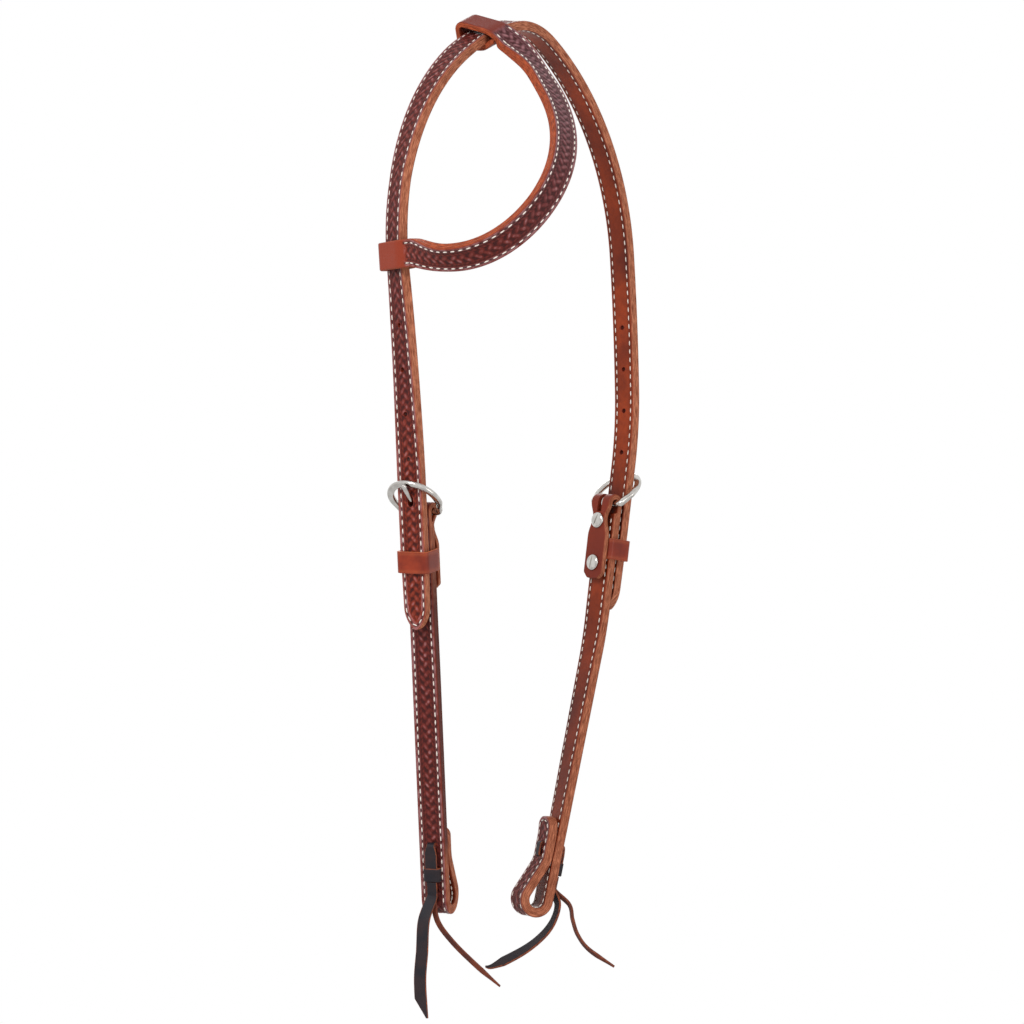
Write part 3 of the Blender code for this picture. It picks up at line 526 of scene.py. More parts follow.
def placed_object(name: str, mesh: Mesh, material: Optional[Material] = None) -> Object:
    """Links a mesh as a piece that stands at the origin, shaded smooth.

    Args:
        name: its name.
        mesh: its mesh.
        material: its finish, where it has one.

    Returns:
        The piece.
    """
    made = bpy.data.objects.new(name, mesh)
    bpy.context.scene.collection.objects.link(made)
    mesh.shade_smooth()
    if material is not None:
        mesh.materials.append(material)
    return made


def basis(
    origin: np.ndarray, x_axis: np.ndarray, y_axis: np.ndarray, z_axis: Optional[np.ndarray] = None
) -> Matrix:
    """A placement from an origin and two or three directions, whose lengths are scales.

    Args:
        origin: the origin.
        x_axis: the first direction.
        y_axis: the second.
        z_axis: the third, or none for one square to both.

    Returns:
        The placement.
    """
    if z_axis is None:
        z_axis = np.cross(x_axis, y_axis)
    rows = [[x_axis[i], y_axis[i], z_axis[i], origin[i]] for i in range(3)]
    return Matrix((*rows, (0.0, 0.0, 0.0, 1.0)))


@dataclass(frozen=True)
class Prism:
    """A prism to cut with: a box where it has four sides, or else a round bar."""

    placement: Matrix
    width: float
    height: float
    depth: float
    sides: int = 4

    def add_to(self, bm: BMesh) -> None:
        """Adds the prism to a mesh in the making.

        Args:
            bm: the mesh.
        """
        matrix = self.placement @ Matrix.Diagonal((self.width, self.height, self.depth, 1.0))
        if self.sides == 4:
            bmesh.ops.create_cube(bm, size=1.0, matrix=matrix)
            return
        bmesh.ops.create_cone(
            bm,
            cap_ends=True,
            segments=self.sides,
            radius1=0.5,
            radius2=0.5,
            depth=1.0,
            matrix=matrix,
        )


def cut_out(piece: Object, prisms: Sequence[Prism], crease: float) -> None:
    """Cuts prisms out of a piece, whose mask of cut edges then covers the holes' walls.

    Args:
        piece: the piece to cut.
        prisms: what is taken out.
        crease: the angle in degrees past which its edges stay sharp.
    """
    bm = bmesh.new()
    for prism in prisms:
        prism.add_to(bm)
    mesh = mesh_from(bm, piece.name + "_holes")
    walls = mesh.attributes.new("edge", "FLOAT", "POINT")
    walls.data.foreach_set("value", np.ones(len(mesh.vertices)))
    cutter = placed_object(mesh.name, mesh)
    hole = piece.modifiers.new(cutter.name, "BOOLEAN")
    hole.operation = "DIFFERENCE"
    hole.solver = "EXACT"
    hole.object = cutter
    graph = bpy.context.evaluated_depsgraph_get()
    finished = bpy.data.meshes.new_from_object(piece.evaluated_get(graph))
    piece.modifiers.clear()
    piece.data = finished
    bpy.data.objects.remove(cutter, do_unlink=True)
    finished.set_sharp_from_angle(angle=math.radians(crease))


class WrappedGrid:
    """A grid laid round a closed section and along a line, made one closed skin."""

    def __init__(self, name: str, points: np.ndarray, looped: bool = False) -> None:
        """Lays a flat grid on its points.

        Args:
            name: the mesh's name.
            points: its points, by row along the line and by column round the section.
            looped: whether the line's last row meets its first.
        """
        self.rows, self.columns = points.shape[:2]
        self.looped = looped
        bm = bmesh.new()
        bmesh.ops.create_grid(bm, x_segments=self.rows - 1, y_segments=self.columns, size=1.0)
        self.mesh = mesh_from(bm, name)
        flat = np.empty(len(self.mesh.vertices) * 3)
        self.mesh.vertices.foreach_get("co", flat)
        flat = (flat.reshape(-1, 3) + 1.0) / 2.0
        self.row = np.rint(flat[:, 0] * (self.rows - 1)).astype(int)
        self.column = np.rint(flat[:, 1] * self.columns).astype(int)
        self.mesh.vertices.foreach_set("co", self.spread(points).ravel())

    def spread(self, values: np.ndarray) -> np.ndarray:
        """Values by row and column, given to every vertex; the closing column repeats the first."""
        return values[self.row, self.column % self.columns]

    def mark(self, **masks: np.ndarray) -> None:
        """Keeps values as masks of the mesh.

        Args:
            masks: values for every row and column, by name.
        """
        for name, values in masks.items():
            mask = self.mesh.attributes.new(name, "FLOAT", "POINT")
            whole = np.broadcast_to(values, (self.rows, self.columns))
            mask.data.foreach_set("value", self.spread(whole).astype(np.float32))

    def unroll(self, along: np.ndarray, around: np.ndarray) -> None:
        """Lays the mesh flat in its UV map, in metres.

        Args:
            along: the run of each row.
            around: the way round the section of each row and column, the closing column included.
        """
        sheet = self.mesh.uv_layers.new(name="leather")
        corners = np.empty(len(self.mesh.loops), dtype=np.int32)
        self.mesh.loops.foreach_get("vertex_index", corners)
        row, column = self.row[corners], self.column[corners]
        sheet.data.foreach_set("uv", np.stack((along[row], around[row, column]), axis=-1).ravel())

    def closed(self) -> Mesh:
        """Joins the skin's open sides, closes its ends and turns its faces outwards.

        Returns:
            The closed mesh.
        """
        bm = bmesh.new()
        bm.from_mesh(self.mesh)
        bm.verts.ensure_lookup_table()
        rim = np.flatnonzero((self.column == 0) | (self.column == self.columns))
        if self.looped:
            ends = np.flatnonzero((self.row == 0) | (self.row == self.rows - 1))
            rim = np.union1d(rim, ends)
        bmesh.ops.remove_doubles(bm, verts=[bm.verts[i] for i in rim], dist=MERGE_DISTANCE)
        open_edges = [edge for edge in bm.edges if edge.is_boundary]
        bmesh.ops.holes_fill(bm, edges=open_edges, sides=0)
        bmesh.ops.recalc_face_normals(bm, faces=bm.faces[:])
        bm.to_mesh(self.mesh)
        bm.free()
        return self.mesh


def way_round(across: np.ndarray, out: np.ndarray) -> np.ndarray:
    """The way round closed sections.

    Args:
        across: places across the strap, by row and by column.
        out: the same places' distances outwards.

    Returns:
        The distance passed at each column, the closing one included.
    """
    sides = (np.diff(values, axis=1, append=values[:, :1]) for values in (across, out))
    return np.pad(np.cumsum(np.hypot(*sides), axis=1), ((0, 0), (1, 0)))


# Stitching


@dataclass(frozen=True)
class StitchSize:
    """The thread's sizes: its stitches, their pitch and how far in from the rim they lie."""

    length: float = 0.0031
    width: float = 0.00078
    height: float = 0.0008
    pitch: float = 0.0051
    inset: float = 0.0023
    lift: float = 0.0001


@dataclass
class StitchLine:
    """A row of stitches on a strap, as places along it and across it."""

    runs: np.ndarray
    across: np.ndarray
    size: StitchSize = StitchSize()

    def passed(self) -> np.ndarray:
        """The distance passed along the row at each of its places."""
        steps = np.hypot(np.diff(self.runs), np.diff(self.across))
        return np.concatenate(([0.0], np.cumsum(steps)))

    def read(self, marks: np.ndarray) -> np.ndarray:
        """The runs and places across at distances along the row."""
        places = [np.interp(marks, self.passed(), row) for row in (self.runs, self.across)]
        return np.stack(places, axis=-1)

    def spaced(self, shift: float, reach: float = 0.0) -> np.ndarray:
        """Places at every pitch.

        Args:
            shift: shares of a pitch by which the places are set on.
            reach: how far on from each place it is read.

        Returns:
            An array of runs and places across.
        """
        whole = self.passed()[-1]
        count = int(whole / self.size.pitch)
        return self.read((np.arange(count) + shift) * whole / count + reach)


def sewn_line(
    start: float,
    end: float,
    start_tip: float,
    end_tip: float,
    size: StitchSize = StitchSize(),
    point: float = 1.0,
) -> list[StitchLine]:
    """The stitch rows of a strap.

    Args:
        start: the run at which the rows begin.
        end: the run at which they end.
        start_tip: the length of a round end at the start, or zero where the rows stay open.
        end_tip: the same at the end.
        size: the thread's sizes.
        point: how pointed the round ends are.

    Returns:
        One line that goes round a round end, or two open ones.
    """
    offset = HALF_WIDTH - size.inset
    left = np.array([(start + start_tip, -offset), (end - end_tip, -offset)])
    right = np.array([(end - end_tip, offset), (start + start_tip, offset)])
    if not end_tip and not start_tip:
        return [StitchLine(*row.T, size) for row in (left, right)]
    turns = np.linspace(-math.pi / 2, math.pi / 2, NOSE_MARKS)[1:-1]
    pieces = [left]
    across = np.sign(turns) * np.abs(np.sin(turns)) ** point
    if end_tip:
        nose = (end_tip - size.inset) * np.cos(turns)
        pieces.append(np.stack((end - end_tip + nose, offset * across), axis=-1))
    pieces.append(right)
    if start_tip:
        nose = (start_tip - size.inset) * np.cos(turns)
        pieces.append(np.stack((start + start_tip - nose, -offset * across), axis=-1))
        pieces.append(left[:1])
    line = np.vstack(pieces)
    return [StitchLine(*line.T, size)]


# Tooling


@dataclass(frozen=True)
class Tooling:
    """The plait pressed into the face: plump lobes from either side, and short ticks."""

    pitch: float = 0.0058
    lobe_length: float = 0.0031
    lobe_width: float = 0.0015
    lobe_offset: float = 0.00125
    lobe_turn: float = 36.0
    tick_start: float = 0.0023
    tick_slope: float = 0.9
    tick_foot: float = 0.3
    tick_height: float = 0.45
    spine_height: float = 0.24
    reach: float = 0.0044
    depth: float = 0.0006
    border: float = 0.0034
    border_width: float = 0.0003
    wander: tuple = ((0.0004, 95.0, 0.0), (0.00025, 410.0, 300.0))
    off_side_height: float = 0.94
    lobe_roundness: float = 0.6
    tick_roundness: float = 1.5
    tick_ease: float = 0.0006
    reach_ease: float = 0.0009
    border_ease: float = 0.0004
    border_depth: float = 0.6
    wear: float = 0.14
    wear_beats: tuple = (1310.0, 1700.0, 330.0)

    def lobes(self, run: np.ndarray, across: np.ndarray, sense: float) -> np.ndarray:
        """The lobes that come from one side.

        Args:
            run: the length along the pattern.
            across: the distance from the strap's middle.
            sense: the side, 1 or -1.

        Returns:
            Heights from 0 to 1.
        """
        turn = math.radians(self.lobe_turn)
        beat = ((run / self.pitch + 0.25 * sense) % 1.0 - 0.5) * self.pitch
        offset = across * sense - self.lobe_offset
        along = (beat * math.cos(turn) + offset * math.sin(turn)) / self.lobe_length
        aside = (offset * math.cos(turn) - beat * math.sin(turn)) / self.lobe_width
        return np.clip(1.0 - along**2 - aside**2, 0.0, 1.0) ** self.lobe_roundness

    def depth_at(self, run: np.ndarray, across: np.ndarray, rim: np.ndarray) -> np.ndarray:
        """How deep the tooling goes.

        Args:
            run: the length along the pattern.
            across: the distance from the strap's middle.
            rim: the distance from its nearest rim.

        Returns:
            Depths in metres.
        """
        away = np.abs(across)
        even = run
        for size, beat, slant in self.wander:
            run = run + size * np.sin(even * beat + slant * across)
        near, off = self.lobes(run, across, 1.0), self.lobes(run, across, -1.0)
        lobe = np.maximum(near, self.off_side_height * off)
        shift = np.where(across > 0.0, 0.5, 0.0)
        slanted = (run + self.tick_slope * away) / self.pitch * 2.0 + shift
        crown = 1.0 - np.abs(2.0 * (slanted % 1.0) - 1.0) ** self.tick_roundness
        tick = self.tick_foot + crown * self.tick_height
        inner = np.clip((away - self.tick_start) / self.tick_ease, 0.0, 1.0)
        outer = np.clip((self.reach - away) / self.reach_ease, 0.0, 1.0)
        spine = self.spine_height * (1.0 - inner)
        height = np.maximum(np.maximum(lobe, spine), tick * inner * np.sqrt(outer))
        quick, aslant, slow = self.wear_beats
        worn = self.wear * np.sin(run * quick + aslant * across) * np.sin(run * slow)
        height = height * (1.0 - self.wear + worn)
        inside = np.clip((rim - self.border) / self.border_ease, 0.0, 1.0)
        pressed = self.depth * (1.0 - height) * inside
        gap = (rim - self.border) / self.border_width
        line = self.border_depth * self.depth * np.exp(-(gap**2))
        return np.maximum(pressed, line)


# Straps


@dataclass(frozen=True)
class Profile:
    """A value that changes along a strap, given at a few runs."""

    knots: Sequence[tuple[float, float]]

    def at(self, runs: np.ndarray) -> np.ndarray:
        """The values at the runs, straight between the knots."""
        return np.interp(runs, [k[0] for k in self.knots], [k[1] for k in self.knots])


def steady(value: float) -> Profile:
    """A profile that keeps one value."""
    return Profile(((0.0, value),))


@dataclass
class StrapSkin:
    """The closed, detailed surface of one strap.

    It has tooling on its face, a seam at its edges with a stretch where their colour is darkened,
    and stitch channels; its masks also carry painted sheen and painted shade in its holes.
    """

    name: str
    course: Course
    lines: list[StitchLine]
    back: Profile = steady(LINING_FACE)
    tooled: Profile = steady(1.0)
    # above zero a warmer tone; below zero painted sheen on the tooled ridges
    warm: Profile = steady(0.15)
    # how far the edge colour is darkened along the strap
    burnish: Profile = steady(0.0)
    start_tip: float = 0.0
    end_tip: float = 0.0
    point: float = 1.0
    pattern_middle: float = 0.0
    face_cells: int = 28
    back_cells: int = 12
    corner: float = 0.0009
    back_corner: float = 0.0006
    corner_share: float = 0.4
    corner_turns: tuple = (30.0, 60.0)
    edge_levels: tuple = (
        (0.0, 0.0),
        (0.2, 0.35),
        (0.42, 0.75),
        (0.5, 1.0),
        (0.58, 1.25),
        (0.8, 1.6),
        (1.0, 2.0),
    )
    end_round: float = 0.0006
    end_turns: tuple = (0.0, 30.0, 60.0, 84.0)
    least_half: float = 0.0003
    seam_groove: float = 0.00018
    channel_depth: float = 0.00028
    channel_width: float = 0.0007
    back_channel: float = 0.7
    channel_shade: float = 0.7
    hole_dip: float = 1.5
    hole_width: float = 0.000765
    stitch_window: float = 0.0016
    path_step: float = 0.0004
    tooling: Tooling = Tooling()

    def row_runs(self) -> np.ndarray:
        """The run of each row, closer together at the ends.

        Returns:
            The runs in order.
        """
        length = self.course.length
        inner = np.linspace(0.0, length, max(8, int(length / ROW_STEP)))
        stations = self.course.runs
        at_tips = stations[(stations < self.start_tip) | (stations > length - self.end_tip)]
        turns = np.radians(self.end_turns)
        last = self.end_round * (1.0 - np.sin(turns))
        keep = inner > self.start_tip + ROW_STEP / 2
        keep &= inner < length - self.end_tip - ROW_STEP / 2
        keep &= (inner > last[0]) & (inner < length - last[0])
        at_tips = at_tips[(at_tips > last[0] * 1.2) & (at_tips < length - last[0] * 1.2)]
        return np.unique(np.concatenate((last, at_tips, inner[keep], length - last)))

    def inset(self, runs: np.ndarray) -> np.ndarray:
        """How far the section draws in to round the strap's two ends.

        Args:
            runs: the rows' runs.

        Returns:
            A distance for each row.
        """
        reach = np.minimum(runs, self.course.length - runs)
        share = np.clip(1.0 - reach / self.end_round, 0.0, 1.0)
        return self.end_round * (1.0 - np.sqrt(np.maximum(0.0, 1.0 - share**2)))

    def rim_distance(self, runs: np.ndarray, across: np.ndarray, half: np.ndarray) -> np.ndarray:
        """The distance from the strap's rim, round its round ends too.

        Args:
            runs: each place's run.
            across: its distance from the middle.
            half: the half width there.

        Returns:
            A distance for each place.
        """
        rim = half - np.abs(across)
        past_start, past_end = self.start_tip - runs, runs - self.course.length + self.end_tip
        for tip, past in ((self.start_tip, past_start), (self.end_tip, past_end)):
            if tip:
                level = (np.abs(across) / HALF_WIDTH) ** (1.0 / self.point)
                share = np.hypot(np.maximum(past, 0.0) / tip, level)
                rim = np.where(past > 0.0, (1.0 - share) * HALF_WIDTH, rim)
        return rim

    def stitch_depth(self, runs: np.ndarray, across: np.ndarray) -> tuple[np.ndarray, np.ndarray]:
        """The channel that the stitches lie in, and a mask of their needle holes.

        Args:
            runs: each place's run.
            across: its distance from the middle.

        Returns:
            Both as shares from 0 to 1.
        """
        channel = np.zeros_like(across)
        holes = np.zeros_like(across)
        for line in self.lines:
            whole = line.passed()[-1]
            path = line.read(np.linspace(0.0, whole, math.ceil(whole / self.path_step)))
            marked = (
                (path, self.channel_width, channel),
                (line.spaced(0.0), self.hole_width, holes),
            )
            for places, width, target in marked:
                for run, offset in places:
                    reach = (run - self.stitch_window, run + self.stitch_window)
                    window = slice(*np.searchsorted(runs[:, 0], reach))
                    gap = (runs[window] - run) ** 2 + (across[window] - offset) ** 2
                    np.maximum(target[window], np.exp(-gap / width**2), out=target[window])
        return channel, holes

    def section(
        self, half: np.ndarray, face: np.ndarray, back: np.ndarray, stacked: np.ndarray
    ) -> tuple[np.ndarray, np.ndarray, np.ndarray, np.ndarray]:
        """The cut through the strap at every row, with round corners.

        Args:
            half: each row's half width.
            face: the level of its face.
            back: the level of its back.
            stacked: how far its edge is that of two layers, from 0 to 1.

        Returns:
            Places across and levels by row and column, and each column's masks of edge and of back.
        """
        least = self.corner_share * np.minimum(half, face - back)
        corner, low_corner = np.minimum(self.corner, least), np.minimum(self.back_corner, least)
        top, foot = face - corner, back + low_corner
        turns = [(math.sin(angle), math.cos(angle)) for angle in np.radians(self.corner_turns)]
        side = []
        for sine, cosine in turns:
            side.append((half - corner * (1 - sine), top + corner * cosine, sine**2, 0.0))
        for even, seamed in self.edge_levels:
            split = top * (1 - seamed) if seamed <= 1.0 else foot * (seamed - 1.0)
            level = (top + (foot - top) * even) * (1 - stacked) + split * stacked
            dip = self.seam_groove * stacked if seamed == 1.0 else 0.0
            side.append((half - dip, level, 1.0, 0.0))
        for sine, cosine in turns:
            place, mask = half - low_corner * (1 - cosine), cosine**2
            side.append((place, foot - low_corner * sine, mask, 1 - mask))
        columns = []
        for k in range(self.face_cells + 1):
            place = (2.0 * k / self.face_cells - 1.0) * (half - corner)
            columns.append((place, face, 0.0, 0.0))
        columns += side
        for k in range(self.back_cells + 1):
            place = (1.0 - 2.0 * k / self.back_cells) * (half - low_corner)
            columns.append((place, back, 0.0, 1.0))
        columns += [(-across, level, edge, under) for across, level, edge, under in side[::-1]]
        across, levels, edge, under = zip(*columns)
        return np.hstack(across), np.hstack(levels), np.array(edge), np.array(under)

    def build(self) -> Mesh:
        """Makes the closed mesh with its masks and its flat map.

        Returns:
            The mesh.
        """
        runs = self.row_runs()
        places = self.course.read(runs)
        inset = self.inset(runs)[:, None]
        half = (places.half_width[:, None] - inset).clip(self.least_half)
        back = self.back.at(runs)[:, None]
        stacked = np.clip(back / LINING_FACE, 0.0, 1.0)
        across, out, edge, under = self.section(half, OUTER_FACE - inset, back + inset, stacked)
        run = np.broadcast_to(runs[:, None], across.shape)
        profiles = (self.tooled, self.warm, self.burnish)
        tooled, warm, burnish = (profile.at(runs)[:, None] for profile in profiles)
        rim = self.rim_distance(run, across, half)
        depth = self.tooling.depth_at(np.abs(run - self.pattern_middle), across, rim) * tooled
        channel, holes = self.stitch_depth(run, across)
        on_face, on_back = (edge == 0.0) & (under == 0.0), under == 1.0
        sunk = self.channel_depth * np.maximum(channel, self.hole_dip * holes)
        pressed = np.where(on_face, np.maximum(depth, sunk), 0.0)
        lifted = np.where(on_back, self.channel_depth * channel * self.back_channel, 0.0)
        grid = WrappedGrid(self.name, places.laid(across, out - pressed + lifted))
        grid.mark(
            relief=np.where(on_face, depth / self.tooling.depth, 0.0),
            # painted shade mask: needle holes fully, stitch channels at a share
            pits=np.where(on_face | on_back, np.maximum(holes, self.channel_shade * channel), 0.0),
            edge=edge,
            under=under,
            tooled=np.where(on_face, tooled, 0.0),
            # warmer tone above zero, painted sheen below zero
            warm=warm,
            # how far the edge colour is darkened
            burnish=burnish,
        )
        grid.unroll(runs, way_round(across, out))
        return grid.closed()

    def sew(self, name: str, material: Material) -> Object:
        """Lays a stitch at every pitch of the rows, on the face and on the back.

        Args:
            name: the piece's name.
            material: the thread's finish.

        Returns:
            The stitches as one piece.
        """
        bm = bmesh.new()
        for line in self.lines:
            size = line.size
            reaches = (-0.5 * size.length, 0.0, 0.5 * size.length)
            first, middle, last = (line.spaced(0.5, reach) for reach in reaches)
            head, place, tail = (self.course.read(spots[:, 0]) for spots in (first, middle, last))
            backs = self.back.at(middle[:, 0]) + self.back_channel * self.channel_depth
            for k in range(len(middle)):
                for height, sense in ((OUTER_FACE - self.channel_depth, 1.0), (backs[k], -1.0)):
                    out = height + sense * (size.height / 2 - size.lift)
                    a = head.point[k] + out * head.normal[k] + first[k, 1] * head.front[k]
                    b = tail.point[k] + out * tail.normal[k] + last[k, 1] * tail.front[k]
                    along = (b - a) / np.linalg.norm(b - a)
                    normal = sense * place.normal[k]
                    across = np.cross(normal, along)
                    matrix = basis(
                        (a + b) / 2,
                        across * size.width / 2,
                        normal * size.height / 2,
                        along * size.length / 2,
                    )
                    bmesh.ops.create_uvsphere(
                        bm, u_segments=6, v_segments=5, radius=1.0, matrix=matrix
                    )
        bmesh.ops.recalc_face_normals(bm, faces=bm.faces[:])
        return placed_object(name, mesh_from(bm, name), material)


# Node trees


def srgb(red: float, green: float, blue: float) -> tuple[float, float, float, float]:
    """A colour as the renderer takes it, from its screen values of 0 to 255."""
    values = [c / 255.0 for c in (red, green, blue)]
    return (*(c / 12.92 if c <= 0.04045 else ((c + 0.055) / 1.055) ** 2.4 for c in values), 1.0)


class Board:
    """A node tree with short ways to add nodes and join them."""

    def __init__(self, tree: NodeTree) -> None:
        """Keeps the tree."""
        self.tree = tree

    def feed(self, socket: NodeSocket, value: object) -> None:
        """Links a socket to an input, or sets a plain value there.

        Args:
            socket: the input.
            value: a socket, a plain value or nothing.
        """
        if isinstance(value, NodeSocket):
            self.tree.links.new(value, socket)
        elif value is not None:
            socket.default_value = value

    def fill(self, node: Node, inputs: dict) -> Node:
        """Feeds several inputs of a node.

        Args:
            node: the node.
            inputs: values or sockets by input name or number.

        Returns:
            The node.
        """
        for name, value in inputs.items():
            self.feed(node.inputs[name], value)
        return node

    def node(
        self, kind: str, settings: Optional[dict] = None, inputs: Optional[dict] = None
    ) -> Node:
        """Adds a node.

        Args:
            kind: the node's type.
            settings: properties to set on it.
            inputs: values or sockets by input name or number.

        Returns:
            The node.
        """
        made = self.tree.nodes.new(kind)
        for name, value in (settings or {}).items():
            setattr(made, name, value)
        return self.fill(made, inputs or {})

    def math(
        self, operation: str, first: object, second: object = None, clamp: bool = False
    ) -> NodeSocket:
        """A sum of one or two values."""
        settings = {"operation": operation, "use_clamp": clamp}
        return self.node("ShaderNodeMath", settings, {0: first, 1: second}).outputs[0]

    def product(self, first: object, second: object) -> NodeSocket:
        """Two values multiplied."""
        return self.math("MULTIPLY", first, second)

    def total(self, first: object, second: object) -> NodeSocket:
        """Two values added."""
        return self.math("ADD", first, second)

    def rest(self, value: object) -> NodeSocket:
        """What a share leaves of one."""
        return self.math("SUBTRACT", 1.0, value)

    def mixed(self, factor: object, first: object, second: object) -> NodeSocket:
        """Two colours mixed by a factor."""
        inputs = {0: factor, 6: first, 7: second}
        return self.node("ShaderNodeMix", {"data_type": "RGBA"}, inputs).outputs[2]

    def stretched(
        self, value: object, low: float, high: float, to_low: float = 0.0, to_high: float = 1.0
    ) -> NodeSocket:
        """Takes a value from one range to another and holds it at its ends.

        Args:
            value: the value.
            low: where the first range starts.
            high: where it ends.
            to_low: where the second range starts.
            to_high: where it ends.

        Returns:
            The value in the second range.
        """
        inputs = dict(enumerate((value, low, high, to_low, to_high)))
        return self.node(
            "ShaderNodeMapRange", {"interpolation_type": "SMOOTHSTEP"}, inputs
        ).outputs[0]

    def mask(self, name: str) -> NodeSocket:
        """A named mask of the mesh."""
        return self.node("ShaderNodeAttribute", {"attribute_name": name}).outputs["Fac"]

    def place(self) -> NodeSocket:
        """The piece's own coordinates."""
        return self.node("ShaderNodeTexCoord").outputs["Object"]

    def noise(
        self,
        scale: object,
        detail: float,
        roughness: float = 0.5,
        place: Optional[NodeSocket] = None,
    ) -> NodeSocket:
        """Noise over some coordinates.

        Args:
            scale: its scale.
            detail: its detail.
            roughness: its roughness.
            place: the coordinates, or none for the piece's own.

        Returns:
            Values from 0 to 1.
        """
        place = self.place() if place is None else place
        inputs = {"Vector": place, "Scale": scale, "Detail": detail, "Roughness": roughness}
        return self.node("ShaderNodeTexNoise", {}, inputs).outputs["Fac"]

    def bump(self, height: object, strength: float, distance: float) -> NodeSocket:
        """A normal bumped by a height."""
        inputs = {"Height": height, "Strength": strength, "Distance": distance}
        return self.node("ShaderNodeBump", {}, inputs).outputs[0]

    def group(self, tree: NodeTree, **values: float) -> Node:
        """An effect's group, placed with its own values."""
        return self.fill(self.node("ShaderNodeGroup", {"node_tree": tree}), values)


class EffectGroups:
    """The surface effects that several finishes share, each built once as a node group."""

    def __init__(self) -> None:
        """Builds the groups."""
        self.grain = self.leather_grain()
        self.mottle = self.dye_mottle()
        self.fibres = self.edge_fibres()

    @staticmethod
    def new_group(name: str, inputs: Sequence[tuple[str, float]], outputs: Sequence[str]) -> tuple:
        """Starts a group.

        Args:
            name: the group's name.
            inputs: each input's name and value.
            outputs: the outputs' names.

        Returns:
            The group, its board, its input node and its output node.
        """
        tree = bpy.data.node_groups.new(name, "ShaderNodeTree")
        for label, value in inputs:
            socket = tree.interface.new_socket(label, in_out="INPUT", socket_type="NodeSocketFloat")
            socket.default_value = value
        for label in outputs:
            tree.interface.new_socket(label, in_out="OUTPUT", socket_type="NodeSocketFloat")
        ends = (tree.nodes.new(kind) for kind in ("NodeGroupInput", "NodeGroupOutput"))
        return tree, Board(tree), *ends

    def leather_grain(self) -> NodeTree:
        """Fine pebbled grain with shallow creases.

        Returns:
            The group.
        """
        tree, board, given, result = self.new_group(
            "leather_grain", (("Scale", 900.0), ("Creases", 0.4)), ("Height", "Pores")
        )
        scale = given.outputs["Scale"]
        inputs = {"Vector": board.place(), "Scale": scale}
        cells = board.node("ShaderNodeTexVoronoi", {"feature": "DISTANCE_TO_EDGE"}, inputs)
        pebble = board.stretched(cells.outputs["Distance"], 0.0, 0.35)
        creases = board.noise(board.product(scale, 0.22), 6.0, 0.62)
        lines = board.product(creases, given.outputs["Creases"])
        board.fill(result, {"Height": board.total(pebble, lines), "Pores": board.rest(pebble)})
        return tree

    def dye_mottle(self) -> NodeTree:
        """Slow and quick changes in how deeply the leather took its dye.

        Returns:
            The group.
        """
        tree, board, given, result = self.new_group(
            "dye_mottle", (("Slow", 28.0), ("Quick", 260.0)), ("Slow", "Quick")
        )
        for label, detail in (("Slow", 3.0), ("Quick", 5.0)):
            change = board.noise(given.outputs[label], detail)
            board.feed(result.inputs[label], board.stretched(change, 0.3, 0.7))
        return tree

    def edge_fibres(self) -> NodeTree:
        """Compressed fibres that run along a cut and burnished edge.

        Returns:
            The group.
        """
        tree, board, given, result = self.new_group(
            "edge_fibres", (("Along", 160.0), ("Across", 2600.0)), ("Height", "Tone")
        )
        flat = board.node("ShaderNodeUVMap", {"uv_map": "leather"}).outputs[0]
        scales = {0: given.outputs["Along"], 1: given.outputs["Across"], 2: 1.0}
        scale = board.node("ShaderNodeCombineXYZ", {}, scales).outputs[0]
        spread = board.node("ShaderNodeVectorMath", {"operation": "MULTIPLY"}, {0: flat, 1: scale})
        noise = board.noise(1.0, 4.0, 0.6, spread.outputs[0])
        board.fill(result, {"Height": noise, "Tone": board.stretched(noise, 0.34, 0.66)})
        return tree


def new_finish(name: str) -> tuple[Material, Board, Node]:
    """Starts a material.

    Args:
        name: its name.

    Returns:
        The material, its board and its shader.
    """
    material = bpy.data.materials.new(name)
    material.use_nodes = True
    return material, Board(material.node_tree), material.node_tree.nodes["Principled BSDF"]


